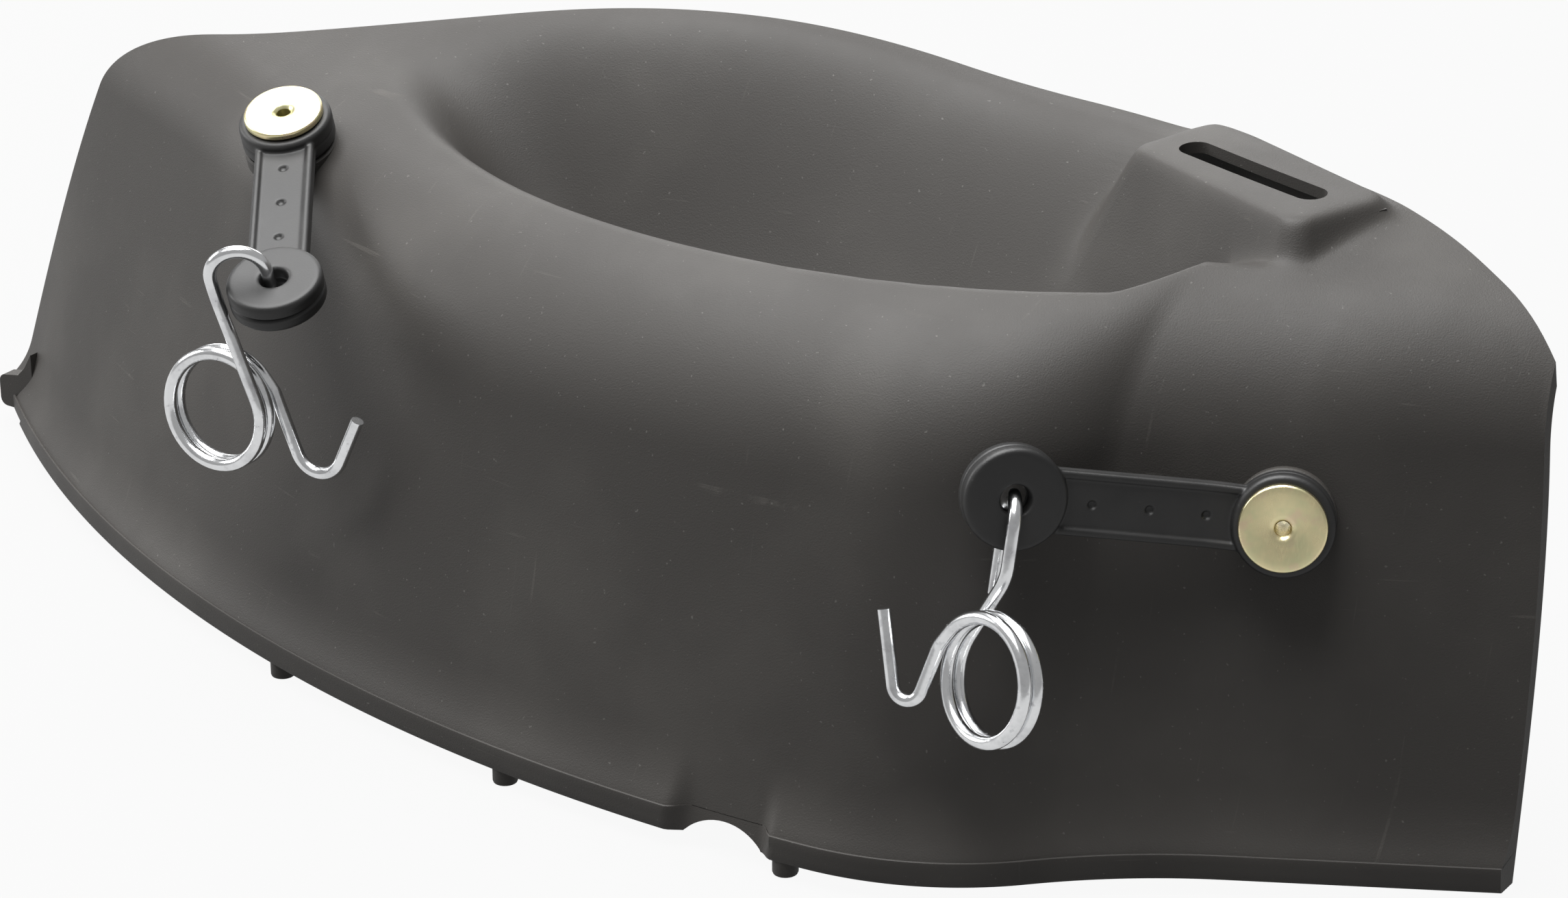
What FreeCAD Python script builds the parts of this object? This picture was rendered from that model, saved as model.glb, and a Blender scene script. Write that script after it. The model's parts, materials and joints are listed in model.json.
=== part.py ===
import FreeCAD, Part
import math
import os
from FreeCAD import Placement, Rotation, Vector

# Mulching cover for the side chute of a mower: a thin moulded shell with an open
# back and an open underside, and two rubber straps that each carry a wire hook spring.
# Everything is in millimetres. The moulding's own origin is the foremost point of the
# bottom rim: x runs along the cover to the right, y goes back to the mower, z is up.

# How finely the sections are drawn
SECTIONS = 27
SWELL_STEPS = 4
SWELL_POWER = 2.2
WALL_STEPS = 4
SHOULDER_STEPS = 7
TOP_STEPS = 16
TOP_MARGIN = 4
TOP_REACH = 30
END_MARGIN = 12
BAND_LIP = 1
PLAN_STEPS = 12
COIL_STEPS = 54

# How far cutting and joining pieces run past what they meet
HOLLOW_EXTRA = 4
PAD_ROOT = 10
SLOT_DEPTH = 20
NOTCH_REACH = 45
HOLE_REACH = 20
SOLE_EXTRA = 3

# Small details: dished mouth of a rivet's bore, bend between coils and hook, skew of
# the notch at the left end in degrees, spread of the tower's corners down its sides
DISH_WIDTH = 1.2
DISH_DEPTH = 0.8
HOOK_START = 5
END_NOTCH_SKEW = 18.4
CORNER_SPREAD = 0.33
SLOPE_STEP = 0.5
SMALLEST_CORNER = 1
LOFT_DEGREE = 8
ACROSS = Rotation(Vector(1, 0, 0), -90)
UP = Vector(0, 0, 1)

doc = FreeCAD.newDocument("chute_cover")
sheet = doc.addObject("Spreadsheet::Sheet", "Sizes")

# Driving sizes: alias, value, what it is
SIZES = [
    ("front_radius", 511, "plan radius of the long front wall"),
    ("right_reach", 205, "foremost point to the right end"),
    ("bend_start", 54, "where the front wall starts to bend back on the right"),
    ("bend_radius", 84, "plan radius of that outward bend"),
    ("bend_angle", 45.3, "steepest plan angle of the wall after the bend"),
    ("return_radius", 167, "plan radius of the inward bend beside it"),
    ("end_angle", 28.3, "plan angle of the straight right end"),
    ("side_depth", 117.6, "foremost point to the straight mating edge"),
    ("back_bulge", 60, "how far the chute part stands behind that edge"),
    ("bulge_start", -235.5, "left start of the chute part"),
    ("bulge_full", -10.5, "where the chute part reaches its full depth"),
    ("bulge_turn", 9.5, "where its back edge starts to run forward again"),
    ("right_depth", 121.6, "depth of the back edge at the right end"),
    ("end_lean", 2.6, "lean of the right end, degrees"),
    ("wall", 3, "wall thickness"),
    ("rim_height", 7, "height of the rim band"),
    ("rim_step", 4.5, "how far the rim band stands out from the wall"),
    ("swell_height", 16, "height of the hollow curve above the rim band"),
    ("draft_left", 16, "lean of the wall at the left, degrees"),
    ("draft_middle", 12, "lean of the wall in the middle, degrees"),
    ("draft_right", 12, "lean of the wall at the right, degrees"),
    ("crown_left", 118.5, "height of the top's line above the rim, left"),
    ("crown_middle", 115.5, "the same in the middle"),
    ("crown_right", 122.5, "the same at the right"),
    ("top_slope", 0.30, "rise of the top towards the back"),
    ("back_fall", 0.215, "how much flatter the top is at the right rear"),
    ("shoulder_left", 34, "radius of the shoulder, left"),
    ("shoulder_middle", 50, "the same in the middle"),
    ("shoulder_right", 44, "the same at the right"),
    ("bowl_x", -16.5, "middle of the bowl along the cover"),
    ("bowl_y", 147.6, "middle of the bowl's front ellipse"),
    ("bowl_length", 160, "half length of the bowl"),
    ("bowl_width", 88, "half width of the bowl's front ellipse"),
    ("bowl_depth", 66, "depth of the bowl below the top"),
    ("bowl_front", 34, "run of the bowl's front slope"),
    ("bowl_rear", 66, "run of the bowl's rear slope"),
    ("ledge", 6, "flat ledge behind the bowl"),
    ("tower_x", 98.5, "middle of the slotted tower along the cover"),
    ("tower_y", 147.1, "middle of the tower, depth"),
    ("tower_turn", -24, "plan turn of the tower, degrees"),
    ("tower_top", 150, "height of the tower's flat top"),
    ("tower_length", 70, "length of its flat top"),
    ("tower_width", 31, "width of its flat top"),
    ("tower_draft", 17, "lean of the tower's sides, degrees"),
    ("tower_foot", 62, "height down to which its sides run"),
    ("tower_round", 6, "corner radius of the tower"),
    ("tower_edge", 3.5, "radius of its top edge"),
    ("slot_length", 52, "length of the slot in the tower"),
    ("slot_width", 9, "width of the slot"),
    ("slot_forward", 1.5, "how far the slot sits in front of the middle"),
    ("slot_turn", 5, "turn of the slot against the tower, degrees"),
    ("blend_left", -70, "where the left values start to take over"),
    ("blend_left_run", 130, "length of that change"),
    ("blend_right", 59.5, "where the right values start to take over"),
    ("blend_right_run", 105, "length of that change"),
    ("right_end", 199.5, "where the right depth is measured"),
    ("fall_start", 70, "where the top's rear gets flatter"),
    ("fall_run", 40, "length of that bend"),
    ("fall_left", -140.5, "where that flattening starts along the cover"),
    ("fall_blend", 170, "length over which it comes in"),
    ("ledge_left", 2, "ledge behind the bowl at the left"),
    ("ledge_start", -70.5, "where the ledge starts to widen"),
    ("ledge_run", 120, "length over which it widens"),
    ("notch_x", 28.5, "middle of the rim notch"),
    ("notch_width", 23, "width of the rim notch at the rim plane"),
    ("notch_height", 6, "height of the rim notch"),
    ("end_notch_x", -312, "middle of the small notch at the left end"),
    ("end_notch_radius", 5.5, "radius of the small notch"),
    ("end_notch_z", 2.5, "height of its middle above the rim plane"),
    ("peg_radius", 3.4, "radius of the locating pegs"),
    ("peg_length", 4.5, "length of the pegs below the rim"),
    ("peg_inset", 3.7, "middle of a peg behind the rim's front edge"),
    ("peg_1", -132.5, "first peg along the cover"),
    ("peg_2", -42.5, "second peg"),
    ("peg_3", 47, "third peg"),
    ("pad_height", 3, "height of the round pads under the straps"),
    ("pad_radius", 13, "radius of the pads"),
    ("left_seat_depth", 11.5, "depth of the flat seat of the left rivet below its foot"),
    ("right_seat_depth", 6.5, "depth of the flat seat of the right rivet"),
    ("seat_radius", 8.5, "radius of the rivet seats"),
    ("right_foot_x", 143.8, "right rivet where it meets the wall, along the cover"),
    ("right_foot_y", 81.8, "the same, depth"),
    ("right_foot_z", 90.3, "the same, height above the rim plane"),
    ("right_axis_x", 0.426, "direction of the right rivet"),
    ("right_axis_y", -0.879, "the same, depth"),
    ("right_axis_z", 0.213, "the same, height"),
    ("right_run_x", -0.905, "direction of the right strap from its rivet"),
    ("right_run_y", -0.416, "the same, depth"),
    ("right_run_z", 0.093, "the same, height"),
    ("left_foot_x", -161.6, "left rivet where it meets the shoulder, along the cover"),
    ("left_foot_y", 70.3, "the same, depth"),
    ("left_foot_z", 129.2, "the same, height above the rim plane"),
    ("left_axis_x", 0.089, "direction of the left rivet"),
    ("left_axis_y", -0.342, "the same, depth"),
    ("left_axis_z", 0.936, "the same, height"),
    ("left_run_x", 0.562, "direction of the left strap from its rivet"),
    ("left_run_y", -0.755, "the same, depth"),
    ("left_run_z", -0.338, "the same, height"),
    ("left_bend", 0, "bend of the left strap, degrees"),
    ("strap_gap", 0.3, "play above and below a strap's eye"),
    ("eye_radius", 13, "radius of a strap's two round ends"),
    ("eye_height", 8.5, "thickness of the round ends"),
    ("eye_edge", 1.3, "rounding of the round ends"),
    ("strap_reach", 68, "middle to middle of the round ends"),
    ("band_width", 16.2, "width of a strap between its ends"),
    ("band_height", 5, "thickness of the strap between its ends"),
    ("band_border", 1.6, "width of the raised edges of the strap"),
    ("band_hollow", 0.8, "depth of the strap's face below its raised edges"),
    ("bend_at", 14, "rivet to the bend of the right strap"),
    ("right_bend", 17, "bend of the right strap, degrees"),
    ("parting_radius", 0.45, "radius of the parting groove round the ends"),
    ("end_hole", 3.8, "radius of the hole for the spring"),
    ("mouth_round", 0.9, "rounding of that hole's mouths"),
    ("dimple_first", 19.5, "free end to the first pin mark"),
    ("dimple_pitch", 14.5, "pin mark to pin mark"),
    ("dimple_radius", 2.3, "radius of the pin marks"),
    ("dimple_depth", 0.9, "depth of the pin marks"),
    ("head_radius", 11, "radius of a rivet's flat head"),
    ("head_height", 2, "thickness of the head"),
    ("head_round", 0.8, "rounding of the head's edge"),
    ("shank_radius", 3, "radius of the shank the strap turns on"),
    ("neck_radius", 2.6, "radius of the shank inside the moulding"),
    ("bore_radius", 1.9, "radius of the bore through a rivet"),
    ("tail_radius", 4.4, "radius of the rolled tail"),
    ("tail_height", 1.2, "height of the rolled tail"),
    ("swivel_play", 0.06, "radial play of a strap on its shank"),
    ("neck_play", 0.05, "radial play of a rivet in the moulding"),
    ("washer_radius", 7, "radius of the backing washers"),
    ("washer_height", 1.2, "thickness of the backing washers"),
    ("wire", 3.5, "wire thickness of the springs"),
    ("coil_radius", 15.3, "middle radius of the coils"),
    ("coil_pitch", 3.9, "wire to wire in the coils"),
    ("arch_radius", 7.6, "radius of the arch that hangs in the strap"),
    ("knee_radius", 12, "radius of the bend in the leg"),
    ("hook_round", 4, "radius of the hook"),
    ("right_leg_angle", 28.7, "angle at which the right leg meets its coil"),
    ("right_leg_length", 18.8, "coil to the knee of the right leg"),
    ("right_neck_length", 12.1, "knee to the arch, right"),
    ("right_neck_lean", 0, "lean of that part, degrees"),
    ("right_arch_turn", -33, "plan turn of the right arch against its coil, degrees"),
    ("right_stub", 19, "length of the free end behind the right strap"),
    ("right_hook_angle", 35.2, "angle at which the hook leaves the right coil"),
    ("right_hook_turn", 24, "plan turn of the right hook against its coil, degrees"),
    ("right_hook_slant", 13.5, "slant of the hook's shank, degrees"),
    ("right_hook_length", 27.9, "length of that shank"),
    ("right_tip_slant", 16.1, "slant of the hook's tip, degrees"),
    ("right_tip_length", 34.1, "length of the tip"),
    ("right_yaw", 160.7, "plan direction of the right coil's face, degrees"),
    ("right_lean", 14, "lean of the right coil, degrees"),
    ("right_swing", -5.7, "swing of the right spring, degrees"),
    ("right_grip", -6.95, "arch level to the strap's middle, along the wire's own axis"),
    ("right_shift", 0, "wire beside the middle of the hole, towards its leg"),
    ("left_leg_angle", 21, "the same sizes for the left spring"),
    ("left_leg_length", 30, "coil to the knee of the left leg"),
    ("left_neck_length", 5, "knee to the arch, left"),
    ("left_neck_lean", 20, "lean of that part, degrees"),
    ("left_arch_turn", 30, "plan turn of the left arch against its coil, degrees"),
    ("left_stub", 15, "length of the free end through the left strap"),
    ("left_hook_angle", 38, "angle at which the hook leaves the left coil"),
    ("left_hook_turn", 0, "plan turn of the left hook, degrees"),
    ("left_hook_slant", 22, "slant of the hook's shank, degrees"),
    ("left_hook_length", 34.5, "length of that shank"),
    ("left_tip_slant", 25, "slant of the hook's tip, degrees"),
    ("left_tip_length", 31, "length of the tip"),
    ("left_yaw", 6, "plan direction of the left coil's face, degrees"),
    ("left_lean", -3.5, "lean of the left coil, degrees"),
    ("left_swing", 2, "swing of the left spring, degrees"),
    ("left_shift", 1.2, "wire beside the middle of the hole, towards its leg"),
    ("left_grip", 6, "arch level down to the strap's middle, along the wire"),
]
for row, (alias, value, note) in enumerate(SIZES, start=1):
    sheet.set("A%d" % row, note)
    sheet.set("B%d" % row, str(value))
    sheet.setAlias("B%d" % row, alias)
doc.recompute()

sheet.set("A301", "half length of the cover, worked out")
sheet.set("B301", "=(right_reach + sqrt(front_radius^2 - (front_radius - side_depth)^2)) / 2")
sheet.setAlias("B301", "half_length")
sheet.set("A302", "frame origin to the foremost rim point, along the cover")
sheet.set("B302", "=half_length - right_reach")
sheet.setAlias("B302", "shift_x")
sheet.set("A303", "frame origin to the foremost rim point, depth")
sheet.set("B303", "=(side_depth + back_bulge) / 2")
sheet.setAlias("B303", "shift_y")
doc.recompute()


def size(alias):
    """A driving size as the sheet now holds it."""
    return float(getattr(sheet, alias))


def smooth(t):
    """Soft step from 0 to 1."""
    t = max(0.0, min(1.0, t))
    return t * t * (3 - 2 * t)


def soft_max(a, b, reach):
    """The larger of two values with a rounded change-over."""
    return 0.5 * (a + b + math.sqrt((a - b) ** 2 + reach ** 2))


def blended(name, x):
    """A size that changes from its left to its middle and its right value."""
    middle = size(name + "_middle")
    left = size(name + "_left") - middle
    right = size(name + "_right") - middle
    return middle + left * smooth((size("blend_left") - x) / size("blend_left_run")) \
        + right * smooth((x - size("blend_right")) / size("blend_right_run"))


def rim_line(x):
    """Depth of the rim's front edge at x, and its plan angle there."""
    big = size("front_radius")
    start = math.asin(size("bend_start") / big)
    if x <= size("bend_start"):
        return big - math.sqrt(big ** 2 - x ** 2), math.asin(x / big)
    small = size("bend_radius")
    back = size("return_radius")
    steep = math.radians(size("bend_angle"))
    last = math.radians(size("end_angle"))
    small_x = (big - small) * math.sin(start)
    small_y = big - (big - small) * math.cos(start)
    if x <= small_x + small * math.sin(steep):
        across = x - small_x
        return small_y - math.sqrt(small ** 2 - across ** 2), math.asin(across / small)
    back_x = small_x + (small + back) * math.sin(steep)
    back_y = small_y - (small + back) * math.cos(steep)
    if x <= back_x - back * math.sin(last):
        across = back_x - x
        return back_y + math.sqrt(back ** 2 - across ** 2), math.asin(across / back)
    along = x - (back_x - back * math.sin(last))
    return back_y + back * math.cos(last) + along * math.tan(last), last


def back_line(x):
    """Depth of the back edge at x, seen from above."""
    side = size("side_depth")
    bulge = size("back_bulge")
    if x <= size("bulge_full"):
        start = size("bulge_start")
        return side + bulge * smooth((x - start) / (size("bulge_full") - start))
    turn = size("bulge_turn")
    if x <= turn:
        return side + bulge
    run = (x - turn) / (size("right_end") - turn)
    return side + bulge + (size("right_depth") - side - bulge) * run ** 2


def top_height(x, y, setback):
    """Height of the top face above the rim plane, bowl included."""
    height = blended("crown", x) + size("top_slope") * setback
    beyond = setback - size("fall_start")
    if beyond > 0:
        run = size("fall_run")
        bend = beyond ** 2 / (2 * run) if beyond < run else beyond - run / 2
        height -= size("back_fall") * smooth((x - size("fall_left")) / size("fall_blend")) * bend
    along = (x - size("bowl_x")) / size("bowl_length")
    across = min(0.0, (y - size("bowl_y")) / size("bowl_width"))
    inside = (1 - math.hypot(along, across)) * size("bowl_width")
    corner, height_there, rise, flat, tangent = shoulder_line(x)
    inside = min(inside, setback * math.cos(rim_line(x)[1]) - corner - tangent * math.cos(flat))
    edge = size("ledge_left") + (size("ledge") - size("ledge_left")) * smooth(
        (x - size("ledge_start")) / size("ledge_run"))
    front = smooth(inside / size("bowl_front"))
    rear = smooth((back_line(x) - edge - y) / size("bowl_rear"))
    return height - size("bowl_depth") * front * rear


def top_drop(x, y, inset):
    """Vertical thickness of the top where it is inset thick square to its face."""
    def height(px, py):
        return top_height(px, py, py - rim_line(px)[0])
    step = SLOPE_STEP
    slope_x = (height(x + step, y) - height(x - step, y)) / (2 * step)
    slope_y = (height(x, y + step) - height(x, y - step)) / (2 * step)
    return math.sqrt(1 + slope_x ** 2 + slope_y ** 2) * inset


def shoulder_line(x):
    """Corner of the wall's line with the top's line at x, and the shoulder's ends from it."""
    stretch = 1 / math.cos(rim_line(x)[1])
    lean = math.radians(blended("draft", x))
    slope = size("top_slope") * stretch
    rise = math.pi / 2 - lean
    flat = math.atan(slope)
    setback = (size("rim_step") + math.tan(lean) * (blended("crown", x) - size("rim_height"))) / (
        1 - math.tan(lean) * slope)
    height = blended("crown", x) + slope * setback
    tangent = blended("shoulder", x) * math.tan((rise - flat) / 2)
    return setback, height, rise, flat, tangent


def wall_points(x, inset):
    """Setback and height of points up the front wall and round its shoulder."""
    setback, height, rise, flat, tangent = shoulder_line(x)
    lean = math.pi / 2 - rise
    band = size("rim_height")
    step = size("rim_step")
    radius = blended("shoulder", x)
    foot_s = setback - tangent * math.cos(rise)
    foot_z = height - tangent * math.sin(rise)
    centre_s = foot_s + radius * math.sin(rise)
    centre_z = foot_z - radius * math.cos(rise)
    points = []
    swell = size("swell_height")
    if inset == 0:
        for i in range(SWELL_STEPS):
            t = i / SWELL_STEPS
            out = (step - BAND_LIP) * (1 - t) ** SWELL_POWER
            z = band + t * swell
            points.append((step + math.tan(lean) * (z - band) - out, z))
        first = band + swell
    else:
        first = -2 * size("peg_length")
    for i in range(WALL_STEPS):
        z = first + (foot_z - first) * i / WALL_STEPS
        points.append((step + math.tan(lean) * (z - band) + inset / math.cos(lean), z))
    for i in range(SHOULDER_STEPS + 1):
        turn = rise + (flat - rise) * i / SHOULDER_STEPS
        points.append((centre_s - (radius - inset) * math.sin(turn),
                       centre_z + (radius - inset) * math.cos(turn)))
    return points


def spline_points(x, inset):
    """Points of the section's curve at x: up the wall, over the shoulder and along the top."""
    rim, turn = rim_line(x)
    stretch = 1 / math.cos(turn)
    points = [Vector(x, rim + s * stretch, z) for s, z in wall_points(x, inset)]
    start = points[-1].y
    reach = soft_max(back_line(x) + TOP_MARGIN, start + TOP_REACH, TOP_REACH) + inset
    for i in range(1, TOP_STEPS + 1):
        y = start + (reach - start) * i / TOP_STEPS
        points.append(Vector(x, y, top_height(x, y, y - rim) - top_drop(x, y, inset)))
    return points


def shared_knots(places, inset):
    """One knot sequence for every section, from their mean chord lengths."""
    total = None
    for x in places:
        points = spline_points(x, inset)
        chords = [one.distanceToPoint(other) for one, other in zip(points, points[1:])]
        total = chords if total is None else [a + b for a, b in zip(total, chords)]
    knots = [0.0]
    for chord in total:
        knots.append(knots[-1] + chord / sum(total))
    knots[-1] = 1.0
    return knots


def section(x, inset, knots):
    """Closed wire of the moulding's section at x, or of its hollow where inset is the wall."""
    points = spline_points(x, inset)
    curve = Part.BSplineCurve()
    curve.interpolate(Points=points, Parameters=knots)
    edges = [curve.toShape()]
    first, last = points[0], points[-1]
    if inset == 0:
        rim = rim_line(x)[0]
        corners = [last, Vector(x, last.y, -SOLE_EXTRA), Vector(x, rim, -SOLE_EXTRA),
                   Vector(x, rim, size("rim_height")), first]
    else:
        corners = [last, Vector(x, last.y, first.z), first]
    for one, other in zip(corners, corners[1:]):
        edges.append(Part.makeLine(one, other))
    return Part.Wire(edges)


def section_places(inset):
    """Where the sections stand; the hollow starts and ends further out."""
    left = size("right_reach") - 2 * size("half_length") - END_MARGIN - 2 * inset
    right = size("right_reach") + END_MARGIN + 2 * inset
    return [left + (right - left) * i / (SECTIONS - 1) for i in range(SECTIONS)]


def lofted(name, inset):
    """Solid loft through the sections of the moulding or of its hollow."""
    wires = []
    places = section_places(inset)
    knots = shared_knots(places, inset)
    for number, x in enumerate(places):
        wire = doc.addObject("Part::Feature", "%s_%02d" % (name, number))
        wire.Shape = section(x, inset, knots)
        wires.append(wire)
    loft = doc.addObject("Part::Loft", name)
    loft.Sections = wires
    loft.Solid = True
    loft.Ruled = False
    loft.MaxDegree = LOFT_DEGREE
    return loft


def driven(kind, name, values):
    """A primitive whose sizes follow the sheet."""
    thing = doc.addObject(kind, name)
    for prop, formula in values.items():
        thing.setExpression(prop, formula)
    return thing


def combined(kind, name, things):
    """Union, difference or overlap of things."""
    result = doc.addObject(kind, name)
    if kind == "Part::MultiFuse":
        result.Shapes = things
    else:
        result.Base, result.Tool = things
    return result


def rounded_edges(name, base, radius, wanted):
    """Fillet on the edges of base for which wanted(edge) holds."""
    doc.recompute()
    fillet = doc.addObject("Part::Fillet", name)
    fillet.Base = base
    fillet.Edges = [(number, radius, radius) for number, edge in
                    enumerate(base.Shape.Edges, start=1) if wanted(edge)]
    return fillet


def tower(name, inset):
    """The tower's block, or its hollow, with leaning sides and rounded corners."""
    top = size("tower_top") - inset
    lean = math.tan(math.radians(size("tower_draft")))
    side = inset / math.cos(math.radians(size("tower_draft"))) - inset * lean
    wires = []
    for height in (top, size("tower_foot")):
        grow = (top - height) * lean - side
        half_x = size("tower_length") / 2 + grow
        half_y = size("tower_width") / 2 + grow
        corner = max(size("tower_round") - inset, SMALLEST_CORNER)
        corner += (top - height) * lean * CORNER_SPREAD
        outline = doc.addObject("Part::Feature", "%s_at_%d" % (name, height))
        outline.Shape = rounded_rectangle(half_x, half_y, corner, height)
        wires.append(outline)
    block = doc.addObject("Part::Loft", name)
    block.Sections = wires
    block.Solid = True
    block.Ruled = True
    block.Placement = Placement(Vector(size("tower_x"), size("tower_y"), 0),
                                Rotation(UP, size("tower_turn")))
    return block


def rounded_rectangle(half_x, half_y, corner, height):
    """Closed wire of a rectangle with round corners at a height."""
    arcs = []
    for quarter, (sign_x, sign_y) in enumerate([(1, 1), (-1, 1), (-1, -1), (1, -1)]):
        middle = Vector(sign_x * (half_x - corner), sign_y * (half_y - corner), height)
        arcs.append(Part.makeCircle(corner, middle, UP, 90 * quarter, 90 * (quarter + 1)))
    edges = []
    for arc, following in zip(arcs, arcs[1:] + arcs[:1]):
        edges.append(arc)
        edges.append(Part.makeLine(arc.Vertexes[-1].Point, following.Vertexes[0].Point))
    return Part.Wire(edges)


# The moulding and its hollow
moulding = lofted("Moulding", 0)
hollow = lofted("Hollow", size("wall"))
tower_block = tower("Tower", 0)
tower_soft = rounded_edges("Tower_soft", tower_block, size("tower_edge"),
                           lambda edge: edge.BoundBox.ZMin > size("tower_top") - 0.01)
tower_hollow = tower("Tower_hollow", size("wall"))


def strap_frame(side):
    """Where a strap's own axes stand: z along its rivet, x towards its free end."""
    out = Vector(size(side + "_axis_x"), size(side + "_axis_y"), size(side + "_axis_z"))
    out.normalize()
    run = Vector(size(side + "_run_x"), size(side + "_run_y"), size(side + "_run_z"))
    run = run - out * run.dot(out)
    run.normalize()
    foot = Vector(size(side + "_foot_x"), size(side + "_foot_y"), size(side + "_foot_z"))
    return Placement(foot, Rotation(run, out.cross(run), out, "ZXY"))


LEFT = strap_frame("left")
RIGHT = strap_frame("right")


def along_rivet(name, frame, radius, start, length):
    """A cylinder on a rivet's axis, from start to start + length above the pad's foot."""
    rod = doc.addObject("Part::Cylinder", name)
    rod.setExpression("Radius", radius)
    rod.setExpression("Height", length)
    rod.Placement = frame.multiply(Placement(Vector(0, 0, start), Rotation()))
    return rod


pads = [along_rivet("Pad_" + side, frame, "Sizes.pad_radius", -PAD_ROOT,
                    "Sizes.pad_height + %d" % PAD_ROOT)
        for side, frame in (("left", LEFT), ("right", RIGHT))]
outside = combined("Part::MultiFuse", "Outside", [moulding, tower_soft] + pads)
inside = combined("Part::MultiFuse", "Inside", [hollow, tower_hollow])


def plan_edges(extra, floor):
    """Outline from above of all that stays in front of the back edge, moved back by extra."""
    side = size("side_depth") + extra
    left = size("right_reach") - 2 * size("half_length") - 2 * END_MARGIN
    right = size("right_reach") + 2 * END_MARGIN
    curves = []
    for start, stop in ((size("bulge_start"), size("bulge_full")), (size("bulge_turn"), right)):
        points = []
        for i in range(PLAN_STEPS + 1):
            x = start + (stop - start) * i / PLAN_STEPS
            points.append(Vector(x, back_line(x) + extra, floor))
        curve = Part.BSplineCurve()
        curve.interpolate(Points=points)
        curves.append((curve.toShape(), points[0], points[-1]))
    corners = [Vector(left, side, floor), curves[0][1]]
    edges = [Part.makeLine(*corners), curves[0][0], Part.makeLine(curves[0][2], curves[1][1]),
             curves[1][0]]
    loop = [curves[1][2], Vector(right, -END_MARGIN, floor), Vector(left, -END_MARGIN, floor),
            corners[0]]
    for one, other in zip(loop, loop[1:]):
        edges.append(Part.makeLine(one, other))
    return edges


def kept(name, extra, floor, solid):
    """The part of a solid that stands in front of the back edge and above the floor."""
    plan = doc.addObject("Part::Feature", "Plan_" + name)
    plan.Shape = Part.Face(Part.Wire(plan_edges(extra, floor)))
    block = doc.addObject("Part::Extrusion", "Keep_" + name)
    block.Base = plan
    block.DirMode = "Custom"
    block.Dir = UP
    block.setExpression("LengthFwd", "Sizes.tower_top * 1.5")
    return combined("Part::Common", name, (solid, block))


solid_cover = kept("Solid_cover", 0, 0, outside)
solid_hollow = kept("Solid_hollow", HOLLOW_EXTRA, -HOLLOW_EXTRA, inside)
trimmed = combined("Part::Cut", "Thin", (solid_cover, solid_hollow))

# What is cut away: the right end, the slot, the notches and the rivet holes
end_cut = driven("Part::Box", "End_cut", {
    "Length": "Sizes.side_depth",
    "Width": "4 * Sizes.side_depth",
    "Height": "3 * Sizes.tower_top"})
lean_back = Rotation(Vector(0, 1, 0), -size("end_lean"))
foot_of_end = Vector(size("right_reach"), -size("side_depth"), 0)
end_cut.Placement = Placement(foot_of_end - lean_back.multVec(UP * size("tower_top")), lean_back)

slot_turn = Rotation(UP, size("tower_turn") + size("slot_turn"))
forward = Rotation(UP, size("tower_turn")).multVec(Vector(0, -size("slot_forward"), 0))
slot_floor = Vector(size("tower_x"), size("tower_y"), size("tower_top") - SLOT_DEPTH) + forward
straight = size("slot_length") - size("slot_width")
slot_box = driven("Part::Box", "Slot_middle", {
    "Length": "Sizes.slot_length - Sizes.slot_width",
    "Width": "Sizes.slot_width",
    "Height": "%d" % (2 * SLOT_DEPTH)})
corner = slot_turn.multVec(Vector(-straight / 2, -size("slot_width") / 2, 0))
slot_box.Placement = Placement(slot_floor + corner, slot_turn)
slot_parts = [slot_box]
for number, end in enumerate((-straight / 2, straight / 2)):
    round_end = driven("Part::Cylinder", "Slot_end_%d" % number, {
        "Radius": "Sizes.slot_width / 2", "Height": "%d" % (2 * SLOT_DEPTH)})
    round_end.Placement = Placement(slot_floor + slot_turn.multVec(Vector(end, 0, 0)), Rotation())
    slot_parts.append(round_end)

notch_radius = (size("notch_width") ** 2 / 4 + size("notch_height") ** 2) / (
    2 * size("notch_height"))
notch = driven("Part::Cylinder", "Rim_notch", {
    "Radius": "(Sizes.notch_width^2 / 4 + Sizes.notch_height^2) / (2 * Sizes.notch_height)",
    "Height": "%d" % NOTCH_REACH})
notch.Placement = Placement(Vector(size("notch_x"), -NOTCH_REACH / 3,
                                   size("notch_height") - notch_radius), ACROSS)
end_notch = driven("Part::Cylinder", "End_notch", {
    "Radius": "Sizes.end_notch_radius", "Height": "%d" % (2 * NOTCH_REACH)})
skew = math.radians(END_NOTCH_SKEW)
end_notch.Placement = Placement(
    Vector(size("end_notch_x") - NOTCH_REACH * math.tan(skew),
           rim_line(size("end_notch_x"))[0] - NOTCH_REACH, size("end_notch_z")),
    Rotation(UP, -END_NOTCH_SKEW).multiply(ACROSS))

seats = [along_rivet("Seat_" + side, frame, "Sizes.seat_radius", -size(side + "_seat_depth"),
                     "Sizes.%s_seat_depth" % side)
         for side, frame in (("left", LEFT), ("right", RIGHT))]
holes = [along_rivet("Rivet_hole_" + side, frame, "Sizes.neck_radius + Sizes.neck_play",
                     -HOLE_REACH, "Sizes.pad_height + %d" % (2 * HOLE_REACH))
         for side, frame in (("left", LEFT), ("right", RIGHT))]
pegs = []
for number in (1, 2, 3):
    x = size("peg_%d" % number)
    rim, turn = rim_line(x)
    peg = driven("Part::Cylinder", "Peg_%d" % number, {
        "Radius": "Sizes.peg_radius", "Height": "Sizes.peg_length"})
    inset = size("peg_inset")
    peg.Placement = Placement(Vector(x - math.sin(turn) * inset, rim + math.cos(turn) * inset,
                                     -size("peg_length")), Rotation())
    pegs.append(peg)
built_up = combined("Part::MultiFuse", "Built_up", [trimmed] + seats + pegs)
cuts = combined("Part::MultiFuse", "Cuts", [end_cut, notch, end_notch] + slot_parts + holes)
cover = combined("Part::Cut", "Cover", (built_up, cuts))
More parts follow.
